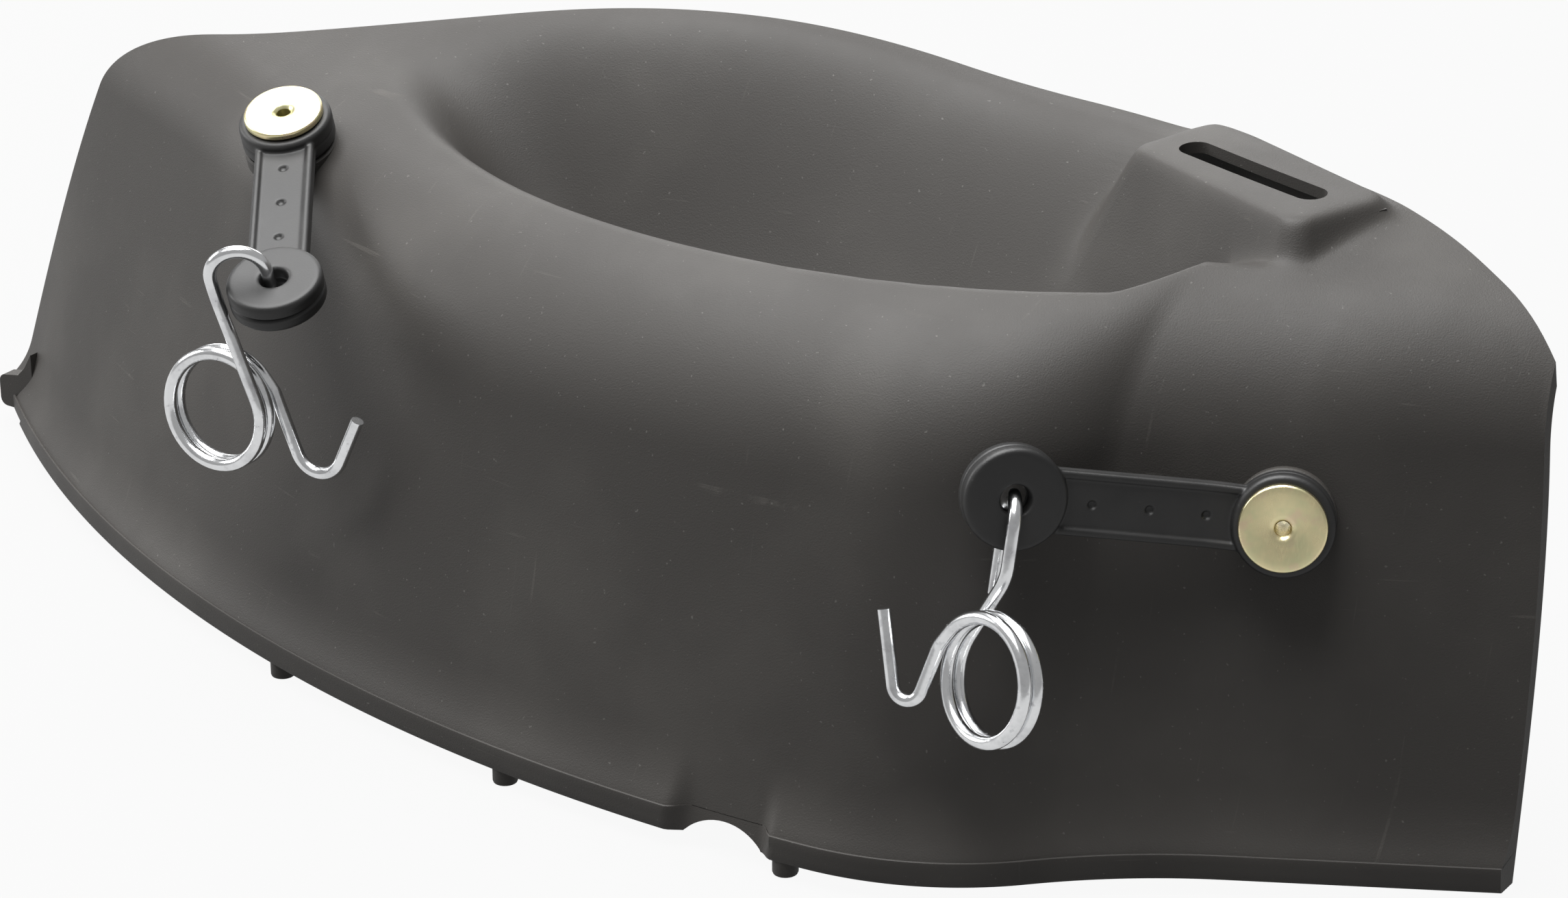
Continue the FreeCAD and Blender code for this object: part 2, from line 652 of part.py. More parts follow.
cover.Label = "cover_shell"


def eye(name, place):
    """One round end of a strap, edges softened."""
    disc = driven("Part::Cylinder", name, {"Radius": "Sizes.eye_radius",
                                           "Height": "Sizes.eye_height"})
    soft = rounded_edges(name + "_soft", disc, size("eye_edge"),
                         lambda edge: edge.BoundBox.ZLength < 0.01)
    soft.Placement = place
    groove = driven("Part::Torus", name + "_groove", {"Radius1": "Sizes.eye_radius",
                                                      "Radius2": "Sizes.parting_radius"})
    groove.Placement = place.multiply(Placement(Vector(0, 0, size("eye_height") / 2), Rotation()))
    return soft, groove


def strap(side, frame):
    """Rubber strap: an eye on the rivet, a ribbed band, an eye for the spring."""
    half = size("eye_height") / 2
    bend = Placement(Vector(size("bend_at"), 0, half),
                     Rotation(Vector(0, 1, 0), -size(side + "_bend")))
    far = size("strap_reach") - size("bend_at")
    rivet_eye, rivet_groove = eye("Rivet_eye_" + side, Placement())
    end_place = bend.multiply(Placement(Vector(far, 0, -half), Rotation()))
    end_eye, end_groove = eye("End_eye_" + side, end_place)
    solids = [rivet_eye, end_eye]
    hollows = [rivet_groove, end_groove]
    up = -size("band_height") / 2
    lengths = (("Root", Placement(Vector(0, 0, half), Rotation()), "Sizes.bend_at"),
               ("Band", bend, "Sizes.strap_reach - Sizes.bend_at"))
    for name, place, length in lengths:
        strip = driven("Part::Box", "%s_%s" % (name, side), {
            "Length": length, "Width": "Sizes.band_width", "Height": "Sizes.band_height"})
        strip.Placement = place.multiply(
            Placement(Vector(0, -size("band_width") / 2, up), Rotation()))
        solids.append(strip)
        channel = driven("Part::Box", "%s_channel_%s" % (name, side), {
            "Length": length, "Width": "Sizes.band_width - 2 * Sizes.band_border",
            "Height": "Sizes.band_hollow * 2"})
        channel.Placement = place.multiply(Placement(Vector(
            0, size("band_border") - size("band_width") / 2,
            -up - size("band_hollow")), Rotation()))
        hollows.append(channel)
    knuckle = driven("Part::Cylinder", "Knuckle_" + side, {
        "Radius": "Sizes.band_height / 2", "Height": "Sizes.band_width"})
    knuckle.Placement = bend.multiply(
        Placement(Vector(0, -size("band_width") / 2, 0), ACROSS))
    solids.append(knuckle)
    # The channel stops at the eyes: they are put back over it afterwards
    band = combined("Part::MultiFuse", "Strap_solid_" + side, solids[2:])
    channels = combined("Part::MultiFuse", "Strap_hollow_" + side, hollows[2:])
    ribbed = combined("Part::Cut", "Ribbed_" + side, (band, channels))
    joined = combined("Part::MultiFuse", "Joined_" + side, [ribbed] + solids[:2])
    through = "2 * Sizes.eye_height"
    rivet_hole = driven("Part::Cylinder", "Eye_hole_" + side, {
        "Radius": "Sizes.shank_radius + Sizes.swivel_play", "Height": through})
    rivet_hole.Placement = Placement(Vector(0, 0, -half), Rotation())
    end_hole = driven("Part::Cylinder", "End_hole_" + side, {
        "Radius": "Sizes.end_hole", "Height": through})
    end_hole.Placement = end_place.multiply(Placement(Vector(0, 0, -half), Rotation()))
    tools = [rivet_hole, end_hole] + hollows[:2]
    for level, turn in ((0, 0), (size("eye_height"), 180)):
        mouth = driven("Part::Cone", "Mouth_%s_%d" % (side, turn), {
            "Radius1": "Sizes.end_hole + Sizes.mouth_round", "Radius2": "Sizes.end_hole",
            "Height": "Sizes.mouth_round"})
        mouth.Placement = end_place.multiply(
            Placement(Vector(0, 0, level), Rotation(Vector(1, 0, 0), turn)))
        tools.append(mouth)
    for number in range(3):
        dimple = driven("Part::Cylinder", "Pin_mark_%s_%d" % (side, number), {
            "Radius": "Sizes.dimple_radius", "Height": "Sizes.band_height"})
        where = far - size("dimple_first") - number * size("dimple_pitch")
        dimple.Placement = bend.multiply(Placement(Vector(
            where, 0, -up - size("band_hollow") - size("dimple_depth")), Rotation()))
        tools.append(dimple)
    cutter = combined("Part::MultiFuse", "Strap_cuts_" + side, tools)
    result = combined("Part::Cut", "Strap_" + side, (joined, cutter))
    result.Label = side + "_strap"
    result.Placement = frame.multiply(
        Placement(Vector(0, 0, size("pad_height") + size("strap_gap")), Rotation()))
    hole_middle = result.Placement.multiply(end_place).multVec(UP * half)
    return result, hole_middle


def turned(name, label, outline, place):
    """A turned piece: an outline of radius and height pairs swept round its axis."""
    corners = [Vector(radius, 0, height) for radius, height in outline]
    profile = doc.addObject("Part::Feature", name + "_profile")
    profile.Shape = Part.Face(Part.makePolygon(corners + corners[:1]))
    body = doc.addObject("Part::Revolution", name)
    body.Source = profile
    body.Axis = UP
    body.Angle = 360
    body.Solid = True
    body.Label = label
    body.Placement = place
    return body


def rivet(side, frame):
    """Tubular shoulder rivet: flat head, shank for the strap, thinner neck, rolled tail."""
    head = size("pad_height") + 2 * size("strap_gap") + size("eye_height")
    top = head + size("head_height")
    soft = size("head_round")
    wide = size("head_radius")
    seat = -size(side + "_seat_depth") - size("washer_height")
    bore = size("bore_radius")
    dish = bore + DISH_WIDTH
    outline = [(bore, top - DISH_DEPTH), (dish, top), (wide - soft, top), (wide, top - soft),
               (wide, head + soft / 2), (wide - soft / 2, head), (size("shank_radius"), head),
               (size("shank_radius"), size("pad_height")),
               (size("neck_radius"), size("pad_height")), (size("neck_radius"), seat),
               (size("tail_radius"), seat), (size("tail_radius") - soft / 2,
                                             seat - size("tail_height")),
               (bore, seat - size("tail_height") / 2)]
    return turned("Rivet_" + side, side + "_rivet", outline, frame)


def washer(side, frame):
    """Backing washer on the seat inside the moulding."""
    near = -size(side + "_seat_depth")
    far = near - size("washer_height")
    hole = size("neck_radius") + size("neck_play")
    wide = size("washer_radius")
    outline = [(hole, near), (wide, near), (wide, far), (hole, far)]
    return turned("Washer_" + side, side + "_rivet_washer", outline, frame)


def rounded_run(corners, radii):
    """Edges along straight runs joined by arcs that touch them."""
    edges = []
    last = corners[0]
    for before, at, after, radius in zip(corners, corners[1:], corners[2:], radii):
        back = (before - at).normalize()
        ahead = (after - at).normalize()
        half = back.getAngle(ahead) / 2
        cut = radius / math.tan(half)
        middle = (back + ahead).normalize()
        first = at + back * cut
        second = at + ahead * cut
        crown = at + middle * (radius / math.sin(half) - radius)
        edges.append(Part.makeLine(last, first))
        edges.append(Part.Arc(first, crown, second).toShape())
        last = second
    edges.append(Part.makeLine(last, corners[-1]))
    return edges


def polar(angle, radius, across):
    """Point of the coil at an angle, across being its place along the coil's axis."""
    turn = math.radians(angle)
    return Vector(radius * math.cos(turn), across, radius * math.sin(turn))


def slanted(plan_turn, slant, sign):
    """Unit direction down (sign -1) or up (+1), slanted outwards."""
    turn = math.radians(plan_turn)
    tilt = math.radians(slant)
    return Vector(math.cos(turn) * math.sin(tilt), math.sin(turn) * math.sin(tilt),
                  sign * math.cos(tilt))


def spring_route(side):
    """Middle line of the wire: free end, arch, leg, coils, hook. The coil's own axis is y."""
    radius = size("coil_radius")
    leg = size(side + "_leg_angle")
    leave = size(side + "_hook_angle")
    start = polar(leg, radius, 0)
    lead = size("coil_pitch") / (2 * math.pi * radius)
    up = Vector(-math.sin(math.radians(leg)), -lead, math.cos(math.radians(leg))).normalize()
    knee = start + up * size(side + "_leg_length")
    tilt = math.radians(size(side + "_neck_lean"))
    neck = Vector(0, -math.sin(tilt), math.cos(tilt))
    foot = knee + neck * size(side + "_neck_length")
    turn = math.radians(size(side + "_arch_turn"))
    side_way = Vector(math.cos(turn), math.sin(turn), 0)
    side_way = (side_way - neck * side_way.dot(neck)).normalize()
    arch = size("arch_radius")
    far = foot + side_way * (2 * arch)
    edges = [Part.makeLine(far - neck * size(side + "_stub"), far),
             Part.Arc(far, foot + side_way * arch + neck * arch, foot).toShape()]
    edges += rounded_run([foot, knee, start], [size("knee_radius")])
    whole = leg - leave + 720
    coil = [polar(leg - whole * i / COIL_STEPS, radius,
                  size("coil_pitch") * whole / 360 * i / COIL_STEPS)
            for i in range(COIL_STEPS + 1)]
    end = coil[-1]
    out = Vector(math.sin(math.radians(leave)), lead, -math.cos(math.radians(leave))).normalize()
    turns = Part.BSplineCurve()
    turns.interpolate(Points=coil)
    edges.append(turns.toShape())
    bend = end + out * HOOK_START
    low = bend + slanted(size(side + "_hook_turn"), size(side + "_hook_slant"),
                         -1) * size(side + "_hook_length")
    tip = low + slanted(size(side + "_hook_turn"), size(side + "_tip_slant"),
                        1) * size(side + "_tip_length")
    edges += rounded_run([end, bend, low, tip], [HOOK_START, size("hook_round")])
    middle = far - neck * size(side + "_grip")
    if size(side + "_grip") < 0:
        middle = foot + side_way * arch - neck * size(side + "_grip")
    return edges, middle + side_way * size(side + "_shift")


def spring(side, hole_middle):
    """Wire spring hung in the strap's end hole."""
    edges, middle = spring_route(side)
    spine = doc.addObject("Part::Feature", "Wire_" + side)
    spine.Shape = Part.Wire(edges)
    start = edges[0].Vertexes[0].Point
    ahead = edges[0].Vertexes[1].Point - start
    ring = doc.addObject("Part::Feature", "Wire_end_" + side)
    ring.Shape = Part.Wire([Part.makeCircle(size("wire") / 2, start, ahead)])
    body = doc.addObject("Part::Sweep", "Spring_" + side)
    body.Sections = [ring]
    body.Spine = (spine, ["Edge%d" % (i + 1) for i in range(len(edges))])
    body.Solid = True
    body.Frenet = False
    body.Label = side + "_hook_spring"
    turn = Rotation(UP, size(side + "_yaw")).multiply(
        Rotation(Vector(1, 0, 0), size(side + "_lean"))).multiply(
        Rotation(Vector(0, 1, 0), -size(side + "_swing")))
    body.Placement = Placement(hole_middle - turn.multVec(middle), turn)
    return body


parts = [cover]
for side, frame in (("left", LEFT), ("right", RIGHT)):
    rubber, hole_middle = strap(side, frame)
    parts += [rubber, rivet(side, frame), washer(side, frame), spring(side, hole_middle)]
doc.recompute()

# Into the shared frame: middle of the footprint, floor at the pegs' feet
shift = Vector(size("shift_x"), -size("shift_y"), size("peg_length"))
for part in parts:
    part.Placement = Placement(shift, Rotation()).multiply(part.Placement)
doc.recompute()

for thing in doc.Objects:
    if "Invalid" in thing.State or "Error" in thing.State:
        raise RuntimeError("%s is %s" % (thing.Name, thing.State))
for part in parts:
    if part.Shape.isNull() or not part.Shape.isValid():
        raise RuntimeError("%s has no valid shape" % part.Label)
os.makedirs("parts", exist_ok=True)
for part in parts:
    part.Shape.exportStep("parts/%s.step" % part.Label)
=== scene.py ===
# %% [markdown]
# A mulching cover for the side chute of a mower, seen from its front right corner.
# It is one thin moulding with a long curved wall, a bowl in its top and a slotted tower,
# held by two rubber straps whose ends carry wire hook springs. The solid model already
# holds every size and joint, so this script rebuilds the visible skins around it: a dense
# shell from the same rules as the moulding, soft rubber straps, turned rivets and wire.

# %% The frame that everything is built around
import json
import math

import bmesh
import bpy
import numpy as np
from mathutils import Matrix, Vector


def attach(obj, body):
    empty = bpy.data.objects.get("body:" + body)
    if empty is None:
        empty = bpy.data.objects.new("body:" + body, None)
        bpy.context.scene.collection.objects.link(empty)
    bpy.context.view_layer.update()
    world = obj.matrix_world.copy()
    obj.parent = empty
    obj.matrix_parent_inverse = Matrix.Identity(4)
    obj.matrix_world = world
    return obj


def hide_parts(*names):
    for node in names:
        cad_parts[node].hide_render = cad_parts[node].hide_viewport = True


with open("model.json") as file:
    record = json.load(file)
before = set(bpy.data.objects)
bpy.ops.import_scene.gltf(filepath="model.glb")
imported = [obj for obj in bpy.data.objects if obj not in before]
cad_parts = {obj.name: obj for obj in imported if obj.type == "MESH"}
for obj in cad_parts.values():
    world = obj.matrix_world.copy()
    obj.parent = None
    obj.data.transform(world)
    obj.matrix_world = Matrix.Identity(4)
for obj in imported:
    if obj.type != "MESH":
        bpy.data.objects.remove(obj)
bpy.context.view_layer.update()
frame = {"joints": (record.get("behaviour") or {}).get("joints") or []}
JOINTS = {joint["name"]: joint for joint in frame["joints"]}
MM = 0.001

# %% [markdown]
# Shader maths reads best as a formula. A small class wraps one socket, and each operator
# on it adds the node it stands for, so "0.4 + soft * 0.16" builds two nodes by itself.
# Colours and vectors don't go through it, because a Math node turns a colour grey.

# %% Sockets that can be written as formulas
class Value:
    """One output socket of a material, with operators that add Math nodes."""

    def __init__(self, finish, socket):
        self.finish = finish
        self.socket = socket

    def maths(self, operation, *values):
        return self.finish.node("ShaderNodeMath", {"operation": operation}, values)

    def __add__(self, other):
        return self.maths("ADD", self, other)

    def __sub__(self, other):
        return self.maths("SUBTRACT", self, other)

    def __mul__(self, other):
        return self.maths("MULTIPLY", self, other)

    def over(self, low, high):
        """0 below low, 1 above high, and a soft step between them."""
        return self.finish.node("ShaderNodeMapRange", {"interpolation_type": "SMOOTHSTEP"},
                                {"Value": self, "From Min": low, "From Max": high})

    __radd__ = __add__
    __rmul__ = __mul__


class Finish:
    """A material under construction: every node comes from its node method."""

    def __init__(self, name):
        self.material = bpy.data.materials.new(name)
        self.material.use_nodes = True
        self.tree = self.material.node_tree
        self.shader = self.tree.nodes["Principled BSDF"]
        place = self.tree.nodes.new("ShaderNodeTexCoord")
        self.place = Value(self, place.outputs["Object"])

    def node(self, kind, settings=None, values=(), output=0):
        """Adds a node, its settings first, then the values or links of its sockets."""
        node = self.tree.nodes.new(kind)
        for name, setting in (settings or {}).items():
            setattr(node, name, setting)
        pairs = values.items() if isinstance(values, dict) else enumerate(values)
        for key, value in pairs:
            if isinstance(value, Value):
                self.tree.links.new(value.socket, node.inputs[key])
            else:
                node.inputs[key].default_value = value
        return Value(self, node.outputs[output])

    def noise(self, scale, detail=2.0, rough=0.5, stretch=None, turn=(0, 0, 0), seed=0.0):
        """Soft noise over the piece; stretch squeezes it along an axis, seed moves it."""
        place = self.place
        if stretch is not None or seed:
            place = self.node("ShaderNodeMapping", {}, {
                "Vector": place, "Location": (seed, seed * 0.7, 0), "Rotation": turn,
                "Scale": stretch or (1, 1, 1)})
        return self.node("ShaderNodeTexNoise", {}, {
            "Vector": place, "Scale": scale, "Detail": detail, "Roughness": rough})

    def mixed(self, factor, one, other):
        """A colour between two others."""
        return self.node("ShaderNodeMix", {"data_type": "RGBA"}, {0: factor, 6: one, 7: other},
                         output=2)

    def bump(self, height, strength, depth, under=None):
        """A bumped normal from a height between 0 and 1."""
        values = {"Height": height, "Strength": strength, "Distance": depth}
        if under is not None:
            values["Normal"] = under
        return self.node("ShaderNodeBump", {}, values)

    def set(self, **sockets):
        """Puts values or links on the shader's own sockets."""
        for name, value in sockets.items():
            key = name.replace("_", " ")
            if isinstance(value, Value):
                self.tree.links.new(value.socket, self.shader.inputs[key])
            else:
                self.shader.inputs[key].default_value = value
        return self.material


# %% [markdown]
# The moulding is black polypropylene that has gone a warm charcoal. Up close it has a fine
# matt grain from the mould, light scuffs from grass and stones, and long pale streaks
# stretched along one direction. Grain is bump only; scuffs change colour and gloss together.

# %% The moulding's charcoal plastic
CHARCOAL = (0.043, 0.040, 0.037, 1)
CHARCOAL_WORN = (0.085, 0.080, 0.073, 1)
DUST = (0.16, 0.155, 0.145, 1)


def moulded_plastic():
    finish = Finish("moulded_charcoal_plastic")
    grain = finish.noise(2300, detail=1.5)
    cloudy = finish.noise(16, detail=4)
    patchy = finish.noise(60, detail=5, rough=0.62, seed=3.1)
    long_marks = finish.noise(55, detail=3, stretch=(0.25, 1, 9), turn=(0, 0.5, 0.3), seed=1.7)
    cross_marks = finish.noise(70, detail=3, stretch=(8, 0.5, 0.3), turn=(0.2, 0.35, 0), seed=8.2)
    scuffs = long_marks.over(0.66, 0.74) * patchy.over(0.48, 0.6)
    scuffs = scuffs + cross_marks.over(0.68, 0.76) * patchy.over(0.45, 0.58) * 0.8
    speck = finish.noise(900, detail=1, seed=5.5).over(0.74, 0.8)
    wear = cloudy.over(0.45, 0.75) * 0.35 + scuffs * 0.5
    base = finish.mixed(wear, CHARCOAL, CHARCOAL_WORN)
    colour = finish.mixed(speck * 0.45, base, DUST)
    rough = 0.53 + patchy * 0.10 + scuffs * 0.06 - cloudy.over(0.3, 0.7) * 0.04
    normal = finish.bump(grain, 0.55, 0.00012)
    normal = finish.bump(scuffs, 0.25, 0.0001, normal)
    return finish.set(Base_Color=colour, Roughness=rough, Normal=normal, Specular_IOR_Level=0.3)


# %% [markdown]
# The straps are black rubber. Fresh rubber is darker and a little glossier than the
# moulding, with dust in its corners, and its grain is too fine to see, so the colour only
# lightens softly where a hand or the weather has touched it.

# %% The straps' black rubber
RUBBER = (0.0105, 0.0105, 0.0105, 1)
RUBBER_DUSTY = (0.032, 0.031, 0.030, 1)


def strap_rubber():
    finish = Finish("strap_black_rubber")
    soft = finish.noise(45, detail=4, rough=0.6)
    fine = finish.noise(1600, detail=2, seed=2.2)
    specks = finish.noise(700, detail=1, seed=4.0).over(0.72, 0.8)
    dusty = soft.over(0.42, 0.75) * 0.45 + specks * 0.5
    colour = finish.mixed(dusty, RUBBER, RUBBER_DUSTY)
    rough = 0.40 + soft * 0.16 + specks * 0.1
    normal = finish.bump(fine, 0.35, 0.00008)
    return finish.set(Base_Color=colour, Roughness=rough, Normal=normal)


# %% [markdown]
# Two platings show on the metal. The rivets are yellow zinc, which drifts between straw,
# olive and a trace of pink over a few millimetres. The springs are plain bright zinc over
# drawn wire, greyer and duller where the coils rub.

# %% Yellow zinc and bright zinc
STRAW = (0.88, 0.77, 0.46, 1)
OLIVE = (0.74, 0.71, 0.42, 1)
ROSE = (0.82, 0.62, 0.44, 1)
BRIGHT = (0.88, 0.89, 0.90, 1)
DULL = (0.55, 0.55, 0.57, 1)


def yellow_zinc():
    finish = Finish("rivet_yellow_zinc")
    drift = finish.noise(120, detail=3, rough=0.6)
    blush = finish.noise(210, detail=2, seed=6.0)
    marks = finish.noise(650, detail=2, stretch=(6, 1, 1), turn=(0.3, 0.2, 0.9), seed=3.3)
    plated = finish.mixed(drift.over(0.35, 0.65), STRAW, OLIVE)
    colour = finish.mixed(blush.over(0.5, 0.72) * 0.6, plated, ROSE)
    rough = 0.24 + marks.over(0.45, 0.7) * 0.10 + drift * 0.08
    normal = finish.bump(marks, 0.2, 0.00006)
    return finish.set(Base_Color=colour, Roughness=rough, Metallic=1.0, Normal=normal)


def spring_wire():
    finish = Finish("spring_bright_zinc")
    drift = finish.noise(150, detail=3, rough=0.6)
    drawn = finish.noise(900, detail=2, seed=1.2)
    spots = finish.noise(420, detail=2, seed=9.0).over(0.62, 0.72)
    dull = drift.over(0.4, 0.75) * 0.6 + spots * 0.4
    colour = finish.mixed(dull, BRIGHT, DULL)
    rough = 0.13 + drift * 0.12 + spots * 0.12
    normal = finish.bump(drawn, 0.2, 0.00005)
    return finish.set(Base_Color=colour, Roughness=rough, Metallic=1.0, Normal=normal)


PLASTIC = moulded_plastic()
RUBBER_FINISH = strap_rubber()
RIVET_FINISH = yellow_zinc()
WIRE_FINISH = spring_wire()
print("finishes:", len(bpy.data.materials))

# %% [markdown]
# The moulding's shape follows rules, so it is worked out rather than sculpted. Seen from
# above, its rim is a long arc that bends back on the right. At each place along it a
# section rises: rim band, hollow swell, leaning wall, round shoulder and rising top with
# a bowl in it. Its own origin is the foremost point of the rim, in millimetres.

# %% The rules of the moulding
FRONT_RADIUS = 511
RIGHT_REACH = 205
BEND_START = 54
BEND_RADIUS = 84
BEND_ANGLE = math.radians(45.3)
RETURN_RADIUS = 167
END_ANGLE = math.radians(28.3)
SIDE_DEPTH = 117.6
BACK_BULGE = 60
BULGE_START = -235.5
BULGE_FULL = -10.5
BULGE_TURN = 9.5
RIGHT_DEPTH = 121.6
RIGHT_END = 199.5
END_LEAN = math.tan(math.radians(2.6))
END_CURVE = 2.5
WALL = 3
RIM_HEIGHT = 7
RIM_STEP = 4.5
RIM_LIP = 1
SWELL_HEIGHT = 16
SWELL_POWER = 2.2
PEG_LENGTH = 4.5
HALF_LENGTH = (RIGHT_REACH + math.sqrt(FRONT_RADIUS ** 2 - (FRONT_RADIUS - SIDE_DEPTH) ** 2)) / 2
SHIFT = np.array([HALF_LENGTH - RIGHT_REACH, -(SIDE_DEPTH + BACK_BULGE) / 2, PEG_LENGTH])


def smooth(t):
    """Soft step from 0 to 1."""
    t = np.clip(t, 0, 1)
    return t * t * (3 - 2 * t)


def soft_max(a, b, reach):
    """The larger of two values with a rounded change-over."""
    return 0.5 * (a + b + np.sqrt((a - b) ** 2 + reach ** 2))


def root(value):
    return np.sqrt(np.maximum(value, 0))


def blended(x, left, middle, right):
    """A size that changes from its left to its middle and its right value."""
    return middle + (left - middle) * smooth((-70 - x) / 130) \
        + (right - middle) * smooth((x - 59.5) / 105)


def rim_line(x):
    """Depth of the rim's front edge at x, and its plan angle there."""
    start = math.asin(BEND_START / FRONT_RADIUS)
    bend_x = (FRONT_RADIUS - BEND_RADIUS) * math.sin(start)
    bend_y = FRONT_RADIUS - (FRONT_RADIUS - BEND_RADIUS) * math.cos(start)
    back_x = bend_x + (BEND_RADIUS + RETURN_RADIUS) * math.sin(BEND_ANGLE)
    back_y = bend_y - (BEND_RADIUS + RETURN_RADIUS) * math.cos(BEND_ANGLE)
    last_x = back_x - RETURN_RADIUS * math.sin(END_ANGLE)
    stretches = [x <= BEND_START, x <= bend_x + BEND_RADIUS * math.sin(BEND_ANGLE), x <= last_x]
    depth = np.select(stretches, [
        FRONT_RADIUS - root(FRONT_RADIUS ** 2 - x ** 2),
        bend_y - root(BEND_RADIUS ** 2 - (x - bend_x) ** 2),
        back_y + root(RETURN_RADIUS ** 2 - (back_x - x) ** 2)],
        back_y + RETURN_RADIUS * math.cos(END_ANGLE) + (x - last_x) * math.tan(END_ANGLE))
    angle = np.select(stretches, [
        np.arcsin(np.clip(x / FRONT_RADIUS, -1, 1)),
        np.arcsin(np.clip((x - bend_x) / BEND_RADIUS, -1, 1)),
        np.arcsin(np.clip((back_x - x) / RETURN_RADIUS, -1, 1))], END_ANGLE)
    return depth, angle


def back_line(x):
    """Depth of the back edge at x."""
    before = SIDE_DEPTH + BACK_BULGE * smooth((x - BULGE_START) / (BULGE_FULL - BULGE_START))
    run = np.maximum(x - BULGE_TURN, 0) / (RIGHT_END - BULGE_TURN)
    return before + (RIGHT_DEPTH - SIDE_DEPTH - BACK_BULGE) * run ** 2


# %% [markdown]
# The shoulder is an arc that touches both the wall's line and the top's line. Where the
# two lines meet gives its ends, and the bowl may only start behind it.

# %% Shoulder, bowl and tower
TOP_SLOPE = 0.30
END_FULLNESS = 3.4
BACK_FALL = 0.215
BOWL = {"x": -16.5, "y": 147.6, "length": 160, "width": 88, "depth": 66, "front": 34, "rear": 66}
TOWER = {"x": 98, "y": 147.1, "turn": math.radians(-24), "top": 152, "length": 70, "width": 31,
         "draft": math.tan(math.radians(20)), "corner": 6, "spread": 0.33, "edge": 1.9,
         "foot": 5.5}


def crown(x):
    return blended(x, 118.5, 115.5, 122.5)


def lean_of(x):
    """Lean of the wall from upright; the wall fills out towards the left end."""
    return np.radians(blended(x, 16, 12, 12) - END_FULLNESS * smooth((-215 - x) / 95))


def shoulder(x):
    """Setback and height where wall and top lines meet, their angles, and the arc's reach."""
    slope = TOP_SLOPE / np.cos(rim_line(x)[1])
    lean = lean_of(x)
    flat = np.arctan(slope)
    rise = math.pi / 2 - lean
    setback = (RIM_STEP + np.tan(lean) * (crown(x) - RIM_HEIGHT)) / (1 - np.tan(lean) * slope)
    radius = blended(x, 34, 50, 44)
    return setback, crown(x) + slope * setback, rise, flat, radius, radius * np.tan(
        (rise - flat) / 2)


def top_height(x, y):
    """Height of the top face above the rim plane, bowl included."""
    rim, angle = rim_line(x)
    setback = y - rim
    height = crown(x) + TOP_SLOPE * setback
    beyond = np.maximum(setback - 70, 0)
    bend = np.where(beyond < 40, beyond ** 2 / 80, beyond - 20)
    height = height - BACK_FALL * smooth((x + 140.5) / 170) * bend
    corner, there, rise, flat, radius, reach = shoulder(x)
    along = (x - BOWL["x"]) / BOWL["length"]
    across = np.minimum((y - BOWL["y"]) / BOWL["width"], 0)
    inside = (1 - np.hypot(along, across)) * BOWL["width"]
    inside = np.minimum(inside, setback * np.cos(angle) - corner - reach * np.cos(flat))
    ledge = 2 + 4 * smooth((x + 70.5) / 120)
    rear = smooth((back_line(x) - ledge - y) / BOWL["rear"])
    return height - BOWL["depth"] * smooth(inside / BOWL["front"]) * rear


def top_drop(x, y, inset):
    """Vertical thickness of the top where it is inset thick square to its face."""
    step = 0.5
    slope_x = (top_height(x + step, y) - top_height(x - step, y)) / (2 * step)
    slope_y = (top_height(x, y + step) - top_height(x, y - step)) / (2 * step)
    return inset * np.sqrt(1 + slope_x ** 2 + slope_y ** 2)


def tower_height(x, y, inset):
    """Height of the slotted tower's skin, as a steep hill with a flat top."""
    turn = TOWER["turn"]
    dx, dy = x - TOWER["x"], y - TOWER["y"]
    side = inset * (math.sqrt(1 + TOWER["draft"] ** 2) - TOWER["draft"])
    corner = TOWER["corner"]
    a = np.abs(math.cos(turn) * dx + math.sin(turn) * dy) - TOWER["length"] / 2 + side + corner
    b = np.abs(-math.sin(turn) * dx + math.cos(turn) * dy) - TOWER["width"] / 2 + side + corner
    spread = TOWER["spread"]
    keep = 1 - spread
    square = 2 * keep ** 2 - spread ** 2
    linear = 2 * keep * (a + b) + 2 * corner * spread
    rounded = (linear - root(linear ** 2 - 4 * square * (a * a + b * b - corner ** 2))) / (
        2 * square)
    at_corner = (a > keep * rounded) & (b > keep * rounded)
    away = np.where(at_corner, rounded, np.maximum(a, b) - corner)
    fall = away / TOWER["draft"]
    return TOWER["top"] - inset - 0.5 * (fall + np.sqrt(fall ** 2 + (2 * TOWER["edge"]) ** 2))


# %% [markdown]
# A section is a list of steps up the wall and back over the top. The outer skin has the
# rim band with its rounded edges, then a thin lip and the hollow swell. The inner skin runs
# straight down behind them, so the band is a thick solid lip as on the real moulding.
# In the rim notch the band fades into the wall.

# %% One section of the shell, outside or inside
BAND_PROFILE = [(0.6, 0.0), (0.18, 0.15), (0.0, 0.6), (0.0, 2.6), (0.0, 4.6), (0.0, 6.5),
                (0.12, 6.85), (0.45, 7.0), (RIM_LIP, 6.75)]
SWELL_ROWS = 12
WALL_ROWS = 30
SHOULDER_ROWS = 20
TOP_ROWS = 58
NOTCH_FROM, NOTCH_TO = 17.5, 40.5
TOP_LEAST = 8
SHOULDER_LEAST = 0.12
OVERRUN = 3


def band_left(x):
    """1 where the rim band stands out, 0 where the notch has taken it away."""
    return np.maximum(1 - smooth((x - NOTCH_FROM + 5) / 6), smooth((x - NOTCH_TO + 1) / 5))


